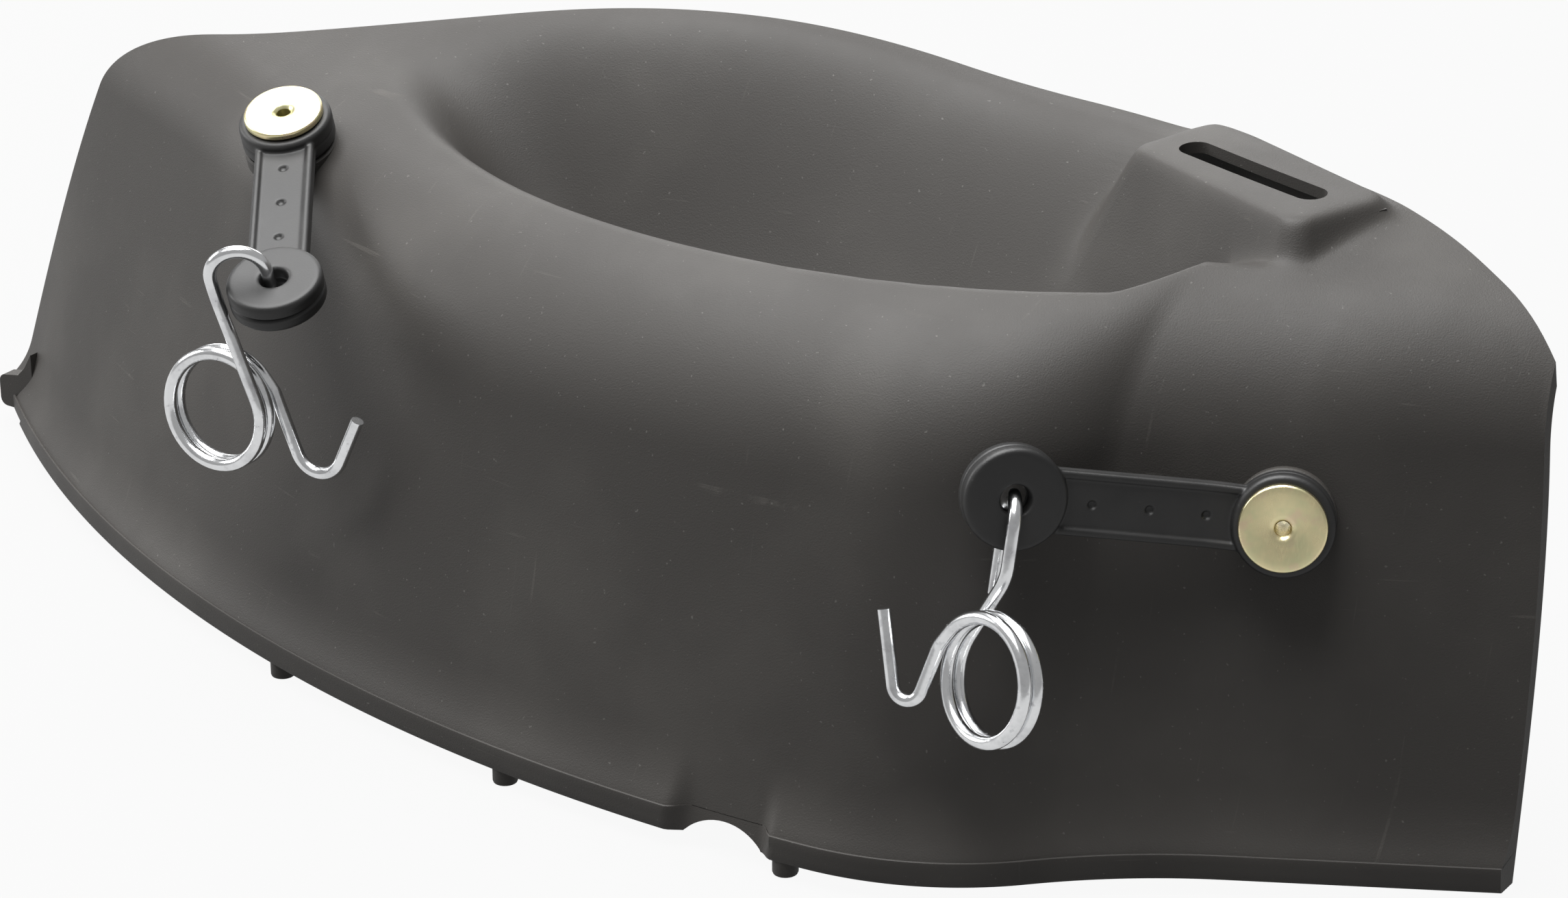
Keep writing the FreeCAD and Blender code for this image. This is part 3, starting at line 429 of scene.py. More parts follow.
def section_rows(inset):
    """Names each row of the grid: which stretch it belongs to and how far along it lies."""
    rows = [("band", i) for i in range(len(BAND_PROFILE))]
    rows += [("swell", i / SWELL_ROWS) for i in range(1, SWELL_ROWS + 1)]
    rows += [("wall", i / WALL_ROWS) for i in range(1, WALL_ROWS + 1)]
    rows += [("shoulder", i / SHOULDER_ROWS) for i in range(1, SHOULDER_ROWS + 1)]
    rows += [("top", i / TOP_ROWS) for i in range(1, TOP_ROWS + 1)]
    return rows


def shell_row(stretch, t, x, inset):
    """Depth and height of one row of the grid at every x."""
    rim, angle = rim_line(x)
    corner, there, rise, flat, radius, reach = shoulder(x)
    lean = lean_of(x)
    foot_s = corner - reach * np.cos(rise)
    foot_z = there - reach * np.sin(rise)
    wall_top = RIM_HEIGHT + SWELL_HEIGHT
    thick = inset / np.cos(lean)
    if stretch in ("band", "swell") and inset:
        share = t / (len(BAND_PROFILE) + SWELL_ROWS) if stretch == "band" else (
            len(BAND_PROFILE) + t * SWELL_ROWS) / (len(BAND_PROFILE) + SWELL_ROWS)
        z = wall_top * share + 0 * x
        s = RIM_STEP + np.tan(lean) * (z - RIM_HEIGHT) + thick
    elif stretch == "band":
        s, z = BAND_PROFILE[t]
        plain = RIM_STEP + np.tan(lean) * (z - RIM_HEIGHT)
        s = plain + (s - plain) * band_left(x)
        z = z + 0 * x
    elif stretch == "swell":
        z = RIM_HEIGHT + t * SWELL_HEIGHT + 0 * x
        out = (RIM_STEP - RIM_LIP) * (1 - t) ** SWELL_POWER * band_left(x)
        s = RIM_STEP + np.tan(lean) * (z - RIM_HEIGHT) - out
    elif stretch == "wall":
        z = wall_top + (foot_z - wall_top) * t
        s = RIM_STEP + np.tan(lean) * (z - RIM_HEIGHT) + thick
    else:
        centre_s = foot_s + radius * np.sin(rise)
        centre_z = foot_z - radius * np.cos(rise)
        back_s = (back_line(x) - TOP_LEAST - rim) * np.cos(angle)
        cut = np.arcsin(np.clip((centre_s - back_s) / (radius - inset), -1, 1))
        last = np.clip(cut, flat, rise - SHOULDER_LEAST)
        turn = rise + (last - rise) * (t if stretch == "shoulder" else 1.0)
        s = centre_s - (radius - inset) * np.sin(turn)
        z = centre_z + (radius - inset) * np.cos(turn)
    y = rim + s / np.cos(angle)
    if stretch == "top":
        back = back_line(x) + np.where(x < BULGE_START - 0.001, OVERRUN, 0)
        y = y + (np.maximum(back, y + 1) - y) * t
        s = (y - rim) * np.cos(angle)
        on_arc = centre_s - s > (radius - inset) * np.sin(flat)
        arc = centre_z + root((radius - inset) ** 2 - (centre_s - s) ** 2)
        z = np.where(on_arc, arc, top_height(x, y) - top_drop(x, y, inset))
    return y, z


def skin(columns, inset):
    """Points of the whole skin, with the right end leaning as it was trimmed."""
    rows = section_rows(inset)
    points = np.zeros((len(rows), len(columns), 3))
    for number, (stretch, t) in enumerate(rows):
        x = columns.copy()
        for _ in range(3):
            y, z = shell_row(stretch, t, x, inset)
            lean = END_LEAN * z + END_CURVE * (z / 100) ** 3
            x = columns - lean * smooth((columns - 120) / 85)
        points[number] = np.stack([x, y, z], axis=1)
    return points


# %% [markdown]
# Both skins share one grid, so their edges close with plain strips of faces. The columns
# stand closer where the notch and the tower need them. The tower comes last: the faces
# under it are divided finely, then each point is lifted to the hill's height with a
# rounded change-over, which gives the tower its soft foot and crisp top in one surface.

# %% The closed shell
LEFT_REACH = -323.0
TOWER_MARGIN, ABOVE_WALL = 17, 60
COLUMNS = np.concatenate([np.linspace(LEFT_REACH, BULGE_START, 36, endpoint=False),
                          np.linspace(BULGE_START, 8, 86, endpoint=False),
                          np.linspace(8, 50, 36, endpoint=False),
                          np.linspace(50, RIGHT_REACH, 74)])


def shell_mesh():
    outer = skin(COLUMNS, 0)
    inner = skin(COLUMNS, WALL)
    rows, columns = outer.shape[:2]
    points = np.concatenate([outer.reshape(-1, 3), inner.reshape(-1, 3)])
    count = rows * columns

    def at(row, column, inside=0):
        return inside * count + row * columns + column

    faces = []
    for i in range(rows - 1):
        for j in range(columns - 1):
            faces.append((at(i, j), at(i, j + 1), at(i + 1, j + 1), at(i + 1, j)))
            faces.append((at(i, j, 1), at(i + 1, j, 1), at(i + 1, j + 1, 1), at(i, j + 1, 1)))
    for j in range(columns - 1):
        faces.append((at(0, j + 1), at(0, j), at(0, j, 1), at(0, j + 1, 1)))
        last = rows - 1
        faces.append((at(last, j), at(last, j + 1), at(last, j + 1, 1), at(last, j, 1)))
    for i in range(rows - 1):
        faces.append((at(i, 0), at(i + 1, 0), at(i + 1, 0, 1), at(i, 0, 1)))
        end = columns - 1
        faces.append((at(i + 1, end), at(i, end), at(i, end, 1), at(i + 1, end, 1)))
    mesh = bpy.data.meshes.new("shell")
    mesh.from_pydata(points.tolist(), [], faces)
    shell = bmesh.new()
    shell.from_mesh(mesh)
    bpy.data.meshes.remove(mesh)
    raise_tower(shell, count)
    cut_mating_edge(shell)
    bmesh.ops.recalc_face_normals(shell, faces=shell.faces)
    return shell


def near_tower(point, margin):
    """True over the tower and its sloping sides."""
    turn = TOWER["turn"]
    dx, dy = point.x - TOWER["x"], point.y - TOWER["y"]
    along = abs(math.cos(turn) * dx + math.sin(turn) * dy)
    across = abs(-math.sin(turn) * dx + math.cos(turn) * dy)
    return (along < TOWER["length"] / 2 + margin and across < TOWER["width"] / 2 + margin
            and point.z > ABOVE_WALL)


def raise_tower(shell, count):
    """Divides the skins under the tower, then lifts them."""
    def divided(first, cuts, margin):
        faces = [face for face in shell.faces if all(vertex.index // count == first
                 for vertex in face.verts) and near_tower(face.calc_center_median(), margin)]
        edges = list({edge for face in faces for edge in face.edges})
        bmesh.ops.subdivide_edges(shell, edges=edges, cuts=cuts, use_grid_fill=True)

    divided(0, 3, TOWER_MARGIN)
    shell.verts.index_update()
    known = len(shell.verts)
    divided(1, 1, TOWER_MARGIN)
    shell.verts.index_update()
    shell.verts.ensure_lookup_table()
    outer = list(shell.verts[:count]) + list(shell.verts[2 * count:known])
    inner = list(shell.verts[count:2 * count]) + list(shell.verts[known:])
    for vertices, inset in ((outer, 0), (inner, WALL)):
        places = np.array([vertex.co for vertex in vertices])
        hill = tower_height(places[:, 0], places[:, 1], inset)
        lifted = np.where(places[:, 2] > ABOVE_WALL,
                          soft_max(places[:, 2], hill, TOWER["foot"]), places[:, 2])
        for vertex, z in zip(vertices, lifted):
            vertex.co.z = z


def cut_mating_edge(shell):
    """Cuts the left end off at the straight mating edge and closes the cut."""
    faces = [face for face in shell.faces
             if all(vertex.co.x < BULGE_START + 0.01 for vertex in face.verts)]
    edges = {edge for face in faces for edge in face.edges}
    vertices = {vertex for face in faces for vertex in face.verts}
    bmesh.ops.bisect_plane(shell, geom=faces + list(edges) + list(vertices), dist=0.001,
                           plane_co=(0, SIDE_DEPTH, 0), plane_no=(0, 1, 0), clear_outer=True)
    open_edges = [edge for edge in shell.edges if edge.is_boundary]
    bmesh.ops.triangle_fill(shell, edges=open_edges, use_beauty=True)


shell = shell_mesh()
print("shell grid:", len(shell.verts), "points")

# %% [markdown]
# The slot, the rim's two notches and the rivet holes aren't cut yet. Each is a plain
# closed cutter, and one exact Boolean takes them all away, as a trimming fixture does.

# %% Trimming the shell
SLOT_LENGTH, SLOT_WIDTH, SLOT_FORWARD = 52, 9, 1.5
SLOT_TURN = TOWER["turn"] + math.radians(5)
NOTCH_X, NOTCH_WIDTH, NOTCH_HEIGHT = 28.5, 23, 5
END_NOTCH = [(-335, -5), (-312, -5), (-304.5, 2.5), (-335, 2.5)]



def object_from(shape, name, smooth_angle=35):
    """Makes a bmesh into an object, with edges sharper than the angle kept crisp."""
    mesh = bpy.data.meshes.new(name)
    shape.to_mesh(mesh)
    shape.free()
    mesh.polygons.foreach_set("use_smooth", [True] * len(mesh.polygons))
    mesh.set_sharp_from_angle(angle=math.radians(smooth_angle))
    piece = bpy.data.objects.new(name, mesh)
    bpy.context.scene.collection.objects.link(piece)
    return piece


def prism(outline, low, high, name):
    """Closed upright prism over an outline in the plan."""
    shape = bmesh.new()
    rings = [[shape.verts.new((x, y, z)) for x, y in outline] for z in (low, high)]
    shape.faces.new(rings[1])
    shape.faces.new(rings[0][::-1])
    for i in range(len(outline)):
        j = (i + 1) % len(outline)
        shape.faces.new((rings[0][i], rings[0][j], rings[1][j], rings[1][i]))
    return object_from(shape, name)


def across_prism(outline, near, far, name):
    """Closed prism over an outline of x and z, running back from near to far."""
    piece = prism(outline, -far, -near, name)
    piece.data.transform(Matrix.Rotation(math.radians(90), 4, "X"))
    return piece


def turned_shape(outline, steps=64):
    """Closed bmesh swept round z from (radius, height) pairs, listed anticlockwise."""
    shape = bmesh.new()
    rings = []
    for i in range(steps):
        angle = 2 * math.pi * i / steps
        rings.append([shape.verts.new((r * math.cos(angle), r * math.sin(angle), z))
                      for r, z in outline])
    for ring, following in zip(rings, rings[1:] + rings[:1]):
        for i in range(len(outline)):
            j = (i + 1) % len(outline)
            shape.faces.new((ring[i], following[i], following[j], ring[j]))
    bmesh.ops.remove_doubles(shape, verts=shape.verts, dist=1e-4)
    shape.normal_update()
    bmesh.ops.recalc_face_normals(shape, faces=shape.faces)
    return shape


def rod(radius, low, high):
    """Outline of a plain cylinder."""
    return [(0, low), (radius, low), (radius, high), (0, high)]


def stadium(length, width, middle, turn, steps=20):
    """Outline of a slot with round ends."""
    radius = width / 2
    straight = length / 2 - radius
    points = []
    for end in (1, -1):
        for i in range(steps + 1):
            angle = math.pi * (i / steps - 0.5) + (0 if end > 0 else math.pi)
            points.append((end * straight + radius * math.cos(angle), radius * math.sin(angle)))
    c, s = math.cos(turn), math.sin(turn)
    return [(middle[0] + c * x - s * y, middle[1] + s * x + c * y) for x, y in points]


def mould_place(joint):
    """A rivet's own axes in the moulding's millimetres, from the joint on its axis."""
    foot = np.array(JOINTS[joint]["pos_m"]) / MM - SHIFT
    return Matrix.Translation(Vector(foot)) @ rivet_turn(joint)


def rivet_turn(joint):
    """Turn that puts z along the rivet and x towards the strap's free end."""
    out = Vector(JOINTS[joint]["axis"]).normalized()
    side = joint.split("_")[0]
    run = Vector(JOINTS[side + "_spring_swing"]["pos_m"]) - Vector(JOINTS[joint]["pos_m"])
    run = (run - out * run.dot(out)).normalized()
    across = out.cross(run)
    return Matrix((run, across, out)).transposed().to_4x4()


def cutters():
    """Everything that is taken away from the shell."""
    turn = TOWER["turn"]
    slot_middle = (TOWER["x"] + math.sin(turn) * SLOT_FORWARD,
                   TOWER["y"] - math.cos(turn) * SLOT_FORWARD)
    slot = prism(stadium(SLOT_LENGTH, SLOT_WIDTH, slot_middle, SLOT_TURN), 130, 170, "slot")
    radius = (NOTCH_WIDTH ** 2 / 4 + NOTCH_HEIGHT ** 2) / (2 * NOTCH_HEIGHT)
    notch = object_from(turned_shape(rod(radius, -15, 35)), "notch")
    notch.data.transform(Matrix.Translation((NOTCH_X, 0, NOTCH_HEIGHT - radius))
                         @ Matrix.Rotation(math.radians(-90), 4, "X"))
    end_notch = across_prism(END_NOTCH, SIDE_DEPTH - 40, SIDE_DEPTH + 10, "end_notch")
    holes = []
    for joint in ("left_strap_swivel", "right_strap_swivel"):
        hole = object_from(turned_shape(rod(2.65, -25, 25)), joint + "_hole")
        hole.data.transform(mould_place(joint))
        holes.append(hole)
    return [slot, notch, end_notch] + holes


def joined(pieces, name):
    """One object holding the meshes of several, which are deleted."""
    shape = bmesh.new()
    for piece in pieces:
        shape.from_mesh(piece.data)
        bpy.data.objects.remove(piece)
    return object_from(shape, name)


def trimmed(piece, tool, operation):
    """Result of one exact Boolean as a fresh object; both inputs are deleted."""
    modifier = piece.modifiers.new("trim", "BOOLEAN")
    modifier.operation = operation
    modifier.solver = "EXACT"
    modifier.object = tool
    modifier.use_self = False
    bpy.context.view_layer.update()
    mesh = bpy.data.meshes.new_from_object(
        piece.evaluated_get(bpy.context.evaluated_depsgraph_get()))
    name = piece.name
    bpy.data.objects.remove(piece)
    bpy.data.objects.remove(tool)
    result = bpy.data.objects.new(name, mesh)
    bpy.context.scene.collection.objects.link(result)
    return result


shell_piece = object_from(shell, "moulded_cover")
shell_piece = trimmed(shell_piece, joined(cutters(), "cutters"), "DIFFERENCE")
print("trimmed shell:", len(shell_piece.data.polygons), "faces")

# %% [markdown]
# Round pads carry the straps and flat bosses carry the washers inside. Three short pegs
# under the rim locate the cover on the deck. The pegs repeat along the rim, so a small
# Geometry Nodes tree puts one turned peg on each point of the rim line. A lug at the left
# end completes the moulding. A dark sheet behind the slot is painted shade: it stands in
# for the shade inside the tower and keeps the slot dark.

# %% Pads, bosses, pegs, lug and the sheet of painted shade behind the slot
PAD_HEIGHT, PAD_RADIUS = 3, 13
SEAT_RADIUS = 8.5
SEAT_DEPTHS = {"left_strap_swivel": 11.5, "right_strap_swivel": 6.5}
PEG_RADIUS, PEG_INSET, PEG_ROUND = 3.4, 3.7, 0.7
PEGS_AT = (-132.5, -42.5, 47)


def node_tree(name, sizes):
    """An empty Geometry Nodes tree with a geometry input and named number inputs."""
    tree = bpy.data.node_groups.new(name, "GeometryNodeTree")
    tree.interface.new_socket("Geometry", in_out="INPUT", socket_type="NodeSocketGeometry")
    for size, kind in sizes:
        tree.interface.new_socket(size, in_out="INPUT", socket_type="NodeSocket" + kind)
    tree.interface.new_socket("Geometry", in_out="OUTPUT", socket_type="NodeSocketGeometry")
    return tree, tree.nodes.new("NodeGroupInput"), tree.nodes.new("NodeGroupOutput")


def grown(piece, tree, values):
    """Runs a tree on a piece with its inputs set by identifier, and keeps the plain mesh."""
    modifier = piece.modifiers.new("grow", "NODES")
    modifier.node_group = tree
    for item in tree.interface.items_tree:
        if item.item_type == "SOCKET" and item.in_out == "INPUT" and item.name in values:
            modifier[item.identifier] = values[item.name]
    bpy.context.view_layer.update()
    mesh = bpy.data.meshes.new_from_object(
        piece.evaluated_get(bpy.context.evaluated_depsgraph_get()))
    name = piece.name
    piece.modifiers.clear()
    bpy.data.objects.remove(piece)
    result = bpy.data.objects.new(name, mesh)
    bpy.context.scene.collection.objects.link(result)
    return result


def peg_object():
    """One peg, standing down from the rim plane into the band."""
    low = -PEG_LENGTH
    outline = [(0, low), (PEG_RADIUS - PEG_ROUND, low), (PEG_RADIUS - 0.2, low + 0.2),
               (PEG_RADIUS, low + PEG_ROUND), (PEG_RADIUS, 2.5), (0, 2.5)]
    return object_from(turned_shape(outline, 40), "peg")


def pegs():
    """A peg on each rim point."""
    one = peg_object()
    places = bmesh.new()
    for x in PEGS_AT:
        depth, angle = rim_line(np.array(float(x)))
        places.verts.new((x - math.sin(angle) * PEG_INSET, depth + math.cos(angle) * PEG_INSET,
                          0))
    points = object_from(places, "rim_pegs")
    tree, given, result = node_tree("pegs_on_the_rim", [("Peg", "Object")])
    spread = tree.nodes.new("GeometryNodeInstanceOnPoints")
    info = tree.nodes.new("GeometryNodeObjectInfo")
    real = tree.nodes.new("GeometryNodeRealizeInstances")
    finish = tree.nodes.new("GeometryNodeSetMaterial")
    finish.inputs["Material"].default_value = PLASTIC
    tree.links.new(given.outputs["Geometry"], spread.inputs["Points"])
    tree.links.new(given.outputs["Peg"], info.inputs["Object"])
    tree.links.new(info.outputs["Geometry"], spread.inputs["Instance"])
    tree.links.new(spread.outputs["Instances"], real.inputs["Geometry"])
    tree.links.new(real.outputs["Geometry"], finish.inputs["Geometry"])
    tree.links.new(finish.outputs["Geometry"], result.inputs["Geometry"])
    grown_pegs = grown(points, tree, {"Peg": one})
    bpy.data.objects.remove(one)
    return grown_pegs


def pad_and_boss(joint):
    """The pad outside and the boss inside, one turned piece round the rivet's hole."""
    hole, root = 2.65, -6
    outline = [(hole, PAD_HEIGHT), (hole, -SEAT_DEPTHS[joint]),
               (SEAT_RADIUS - 0.5, -SEAT_DEPTHS[joint]), (SEAT_RADIUS, -SEAT_DEPTHS[joint] + 0.5),
               (SEAT_RADIUS, root), (SEAT_RADIUS + 1, root + 3), (PAD_RADIUS, -1.5),
               (PAD_RADIUS, PAD_HEIGHT - 0.5), (PAD_RADIUS - 0.5, PAD_HEIGHT)]
    piece = object_from(turned_shape(outline[::-1]), joint + "_pad")
    piece.data.transform(mould_place(joint))
    return piece


def end_lug():
    """Small rounded lug at the left end of the wall, just above the notch in the band."""
    left, right, low, high, corner = -319, -305, 2.5, 13, 2.5
    outline = [(right, low), (right, high + 9), (right - 3, high + 4), (right - 6, high + 1),
               (left + corner, high)]
    outline += [(left + corner - corner * math.sin(turn), high - corner + corner * math.cos(turn))
                for turn in (0.4, 0.8, 1.2)]
    outline += [(left, high - corner), (left, low + corner)]
    outline += [(left + corner - corner * math.cos(turn), low + corner - corner * math.sin(turn))
                for turn in (0.4, 0.8, 1.2)]
    outline += [(left + corner, low)]
    return across_prism(outline, SIDE_DEPTH - 10, SIDE_DEPTH - 5, "end_lug")


def slot_web():
    """Sheet under the tower, behind the slot, put there as painted shade that keeps the slot dark."""
    half, behind, thick = 37, 8, 2.5
    c, s = math.cos(SLOT_TURN), math.sin(SLOT_TURN)
    corners = [(-half, behind), (half, behind), (half, behind + thick), (-half, behind + thick)]
    outline = [(TOWER["x"] + c * x - s * y, TOWER["y"] + s * x + c * y) for x, y in corners]
    return prism(outline, TOWER["top"] - 17, TOWER["top"] - 1.5, "slot_web")


# The sheet behind the slot is painted shade, where the real moulding has only shade inside.
extras = [pegs(), end_lug(), slot_web()] + [pad_and_boss(joint) for joint in SEAT_DEPTHS]
added = joined(extras, "added")
shell_piece = trimmed(shell_piece, added, "UNION")
print("shell with pads and pegs:", len(shell_piece.data.polygons), "faces")

# %% [markdown]
# Booleans leave the shell in the moulding's own millimetres. It is now scaled to metres,
# moved into the shared frame and handed to the frame in place of the solid it follows.

# %% Handing over the shell
def placed(piece, matrix=Matrix.Identity(4)):
    """Brings a mesh from the moulding's millimetres to the frame's metres."""
    shift = Matrix.Translation(Vector(SHIFT))
    piece.data.transform(Matrix.Scale(MM, 4) @ shift @ matrix)
    piece.data.update()


def finished(piece, name, finish, body, slot, *nodes, smooth_angle=35):
    """Names a piece, gives it its finish and ties it to the frame."""
    piece.name = name
    piece.data.name = name
    piece.data.materials.clear()
    piece.data.materials.append(finish)
    piece.data.polygons.foreach_set("material_index", [0] * len(piece.data.polygons))
    piece.data.polygons.foreach_set("use_smooth", [True] * len(piece.data.polygons))
    piece.data.set_sharp_from_angle(angle=math.radians(smooth_angle))
    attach(piece, body)
    if nodes:
        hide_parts(*nodes)
    return piece


placed(shell_piece)
finished(shell_piece, "moulded_cover", PLASTIC, "cover", "moulding", "cover_shell",
         smooth_angle=32)

# %% [markdown]
# A strap is one rubber moulding: two thick round ends joined by a flatter band with raised
# edges. Every corner flows into the next, which is hard to bevel but easy to grow: the
# overlapping turned and extruded forms are remeshed into one skin and smoothed. The
# parting groove and the three pin marks are pressed in afterwards, point by point.

# %% The straps' rubber
REACH = 68
EYE_RADIUS, EYE_HEIGHT, EYE_EDGE = 13, 8.5, 1.5
SHANK_HOLE, SPRING_HOLE, MOUTH = 3.06, 3.8, 0.9
BAND_WIDTH, BAND_HEIGHT, BORDER, HOLLOW = 16.2, 5, 1.6, 0.8
BAND_EDGE, BORDER_SLOPE = 0.5, 0.6
STRAP_GAP = 0.3
BEND_AT = 14
BENDS = {"left": 0.0, "right": math.radians(17)}
BEND_SPREAD = 8.5
PIN_MARKS = [19.5 + 14.5 * i for i in range(3)]
PIN_RADIUS, PIN_DEPTH = 1.1, 0.8
GROOVE, GROOVE_DEPTH = 0.55, 0.42
VOXEL = 0.36


def eye_shape(hole, mouth, at):
    """A round end with soft edges, standing on z = 0 with its middle at x = at."""
    turns = [math.pi / 2 * i / 5 for i in range(6)]
    edge = [(EYE_RADIUS - EYE_EDGE * (1 - math.cos(turn)), EYE_EDGE * (1 - math.sin(turn)))
            for turn in turns]
    outline = [(hole, mouth), (hole + mouth * 0.3, mouth * 0.3), (hole + mouth, 0)]
    outline += edge[::-1] + [(r, EYE_HEIGHT - z) for r, z in edge]
    outline += [(hole + mouth, EYE_HEIGHT), (hole + mouth * 0.3, EYE_HEIGHT - mouth * 0.3),
                (hole, EYE_HEIGHT - mouth)]
    piece = object_from(turned_shape(outline, 96), "eye")
    piece.data.transform(Matrix.Translation((at, 0, 0)))
    return piece


def band_shape(start, stop):
    """The flat band between the eyes, with a raised border along each edge."""
    half = BAND_WIDTH / 2
    low = (EYE_HEIGHT - BAND_HEIGHT) / 2
    high = low + BAND_HEIGHT
    flat, inner = half - BAND_EDGE, half - BORDER
    floor_half = inner - BORDER_SLOPE
    section = [(-flat, low), (flat, low), (half, low + BAND_EDGE), (half, high - BAND_EDGE),
               (flat, high), (inner, high), (floor_half, high - HOLLOW),
               (-floor_half, high - HOLLOW), (-inner, high), (-flat, high),
               (-half, high - BAND_EDGE), (-half, low + BAND_EDGE)]
    shape = bmesh.new()
    rings = [[shape.verts.new((x, y, z)) for y, z in section] for x in (start, stop)]
    shape.faces.new(rings[0][::-1])
    shape.faces.new(rings[1])
    for i in range(len(section)):
        j = (i + 1) % len(section)
        shape.faces.new((rings[0][i], rings[0][j], rings[1][j], rings[1][i]))
    bmesh.ops.recalc_face_normals(shape, faces=shape.faces)
    return object_from(shape, "band")


def remeshed(pieces, name, rounds):
    """One smooth skin over several overlapping forms, about a voxel fine."""
    whole = joined(pieces, name)
    skin_over = whole.modifiers.new("skin", "REMESH")
    skin_over.mode = "VOXEL"
    skin_over.voxel_size = VOXEL
    soften = whole.modifiers.new("soften", "SMOOTH")
    soften.factor = 0.5
    soften.iterations = rounds
    bpy.context.view_layer.update()
    mesh = bpy.data.meshes.new_from_object(
        whole.evaluated_get(bpy.context.evaluated_depsgraph_get()))
    bpy.data.objects.remove(whole)
    piece = bpy.data.objects.new(name, mesh)
    bpy.context.scene.collection.objects.link(piece)
    return piece


def pressed(points, end):
    """Presses the parting groove and the pin marks into the straight strap."""
    middle = EYE_HEIGHT / 2
    for at in (0, end):
        away = points[:, :2] - (at, 0)
        distance = np.hypot(away[:, 0], away[:, 1])
        outward = away / np.maximum(distance, 1e-6)[:, None]
        level = np.abs(points[:, 2] - middle) / GROOVE
        on_rim = distance > EYE_RADIUS - 0.6
        depth = GROOVE_DEPTH * np.maximum(1 - level ** 2, 0) * on_rim
        points[:, :2] -= outward * depth[:, None]
    top = points[:, 2] > middle + 0.4
    for mark in PIN_MARKS:
        distance = np.hypot(points[:, 0] - (end - mark), points[:, 1])
        points[:, 2] -= PIN_DEPTH * (1 - smooth((distance - PIN_RADIUS + 0.4) / 0.7)) * top
    return points


def bent(points, angle):
    """Bends the strap upwards round a wide arc, so that its band doesn't kink."""
    if angle == 0:
        return points
    radius = BEND_SPREAD / math.tan(angle / 2)
    start = BEND_AT - BEND_SPREAD
    along = np.clip((points[:, 0] - start) / radius, 0, angle)
    rest = np.maximum(points[:, 0] - start - radius * angle, 0)
    before = np.minimum(points[:, 0] - start, 0)
    rise = points[:, 2] - EYE_HEIGHT / 2
    x = start + before + (radius - rise) * np.sin(along) + rest * np.cos(along)
    z = EYE_HEIGHT / 2 + radius - (radius - rise) * np.cos(along) + rest * np.sin(along)
    return np.stack([x, points[:, 1], z], axis=1)


def strap(side):
    """One rubber strap on its rivet."""
    angle = BENDS[side]
    end = REACH
    if angle:
        end += BEND_SPREAD * (angle / math.tan(angle / 2) - 2)
    parts = [eye_shape(SHANK_HOLE, 0.3, 0), eye_shape(SPRING_HOLE, MOUTH, end),
             band_shape(8, end - 8)]
    piece = remeshed(parts, side + "_rubber", 3)
    points = np.zeros(len(piece.data.vertices) * 3)
    piece.data.vertices.foreach_get("co", points)
    points = bent(pressed(points.reshape(-1, 3), end), angle)
    points[:, 2] += PAD_HEIGHT + STRAP_GAP
    piece.data.vertices.foreach_set("co", points.ravel())
    placed(piece, mould_place(side + "_strap_swivel"))
    return finished(piece, side + "_rubber_strap", RUBBER_FINISH, side + "_strap_body",
                    "strap_rubber", side + "_strap", smooth_angle=60)


for side in ("left", "right"):
    made = strap(side)
    print(made.name, len(made.data.polygons), "faces")

# %% [markdown]
# The rivets are turned: a flat head with a rolled rim and a dished bore, a shank for the
# strap, and a rolled tail over the backing washer. An outline swept round the axis gives
# them exactly, and a few more points round the edges catch the light as real rims do.

# %% Rivets and washers
HEAD_RADIUS, HEAD_HEIGHT, HEAD_ROUND = 11, 2, 0.8
SHANK_RADIUS, NECK_RADIUS, BORE_RADIUS = 3, 2.6, 1.9
TAIL_RADIUS, TAIL_HEIGHT = 4.4, 1.2
WASHER_RADIUS, WASHER_HEIGHT = 7, 1.2
DISH_WIDTH, DISH_DEPTH = 1.2, 0.8


def quarter(centre, radius, start, steps=5):
    """Points of a quarter circle in an outline."""
    return [(centre[0] + radius * math.cos(start + math.pi / 2 * i / steps),
             centre[1] + radius * math.sin(start + math.pi / 2 * i / steps))
            for i in range(steps + 1)]


def rivet(side):
    """Tubular shoulder rivet."""
    head = PAD_HEIGHT + 2 * STRAP_GAP + EYE_HEIGHT
    top = head + HEAD_HEIGHT
    seat = -SEAT_DEPTHS[side + "_strap_swivel"] - WASHER_HEIGHT
    outline = [(BORE_RADIUS, seat - TAIL_HEIGHT / 2),
               (TAIL_RADIUS - 1.2, seat - TAIL_HEIGHT), (TAIL_RADIUS - 0.4, seat - TAIL_HEIGHT),
               (TAIL_RADIUS, seat - 0.5), (TAIL_RADIUS - 0.1, seat), (NECK_RADIUS, seat),
               (NECK_RADIUS, PAD_HEIGHT), (SHANK_RADIUS, PAD_HEIGHT), (SHANK_RADIUS, head),
               (HEAD_RADIUS - 0.3, head), (HEAD_RADIUS, head + 0.3)]
    outline += quarter((HEAD_RADIUS - HEAD_ROUND, top - HEAD_ROUND), HEAD_ROUND, 0)
    outline += [(HEAD_RADIUS - 2.2, top - 0.04), (BORE_RADIUS + DISH_WIDTH + 0.5, top - 0.02),
                (BORE_RADIUS + DISH_WIDTH, top - 0.12),
                (BORE_RADIUS + DISH_WIDTH * 0.4, top - DISH_DEPTH * 0.55),
                (BORE_RADIUS, top - DISH_DEPTH - 0.3)]
    piece = object_from(turned_shape(outline, 96), side + "_rivet_turned")
    placed(piece, mould_place(side + "_strap_swivel"))
    return finished(piece, side + "_strap_rivet", RIVET_FINISH, "cover", "rivet_zinc",
                    side + "_rivet")


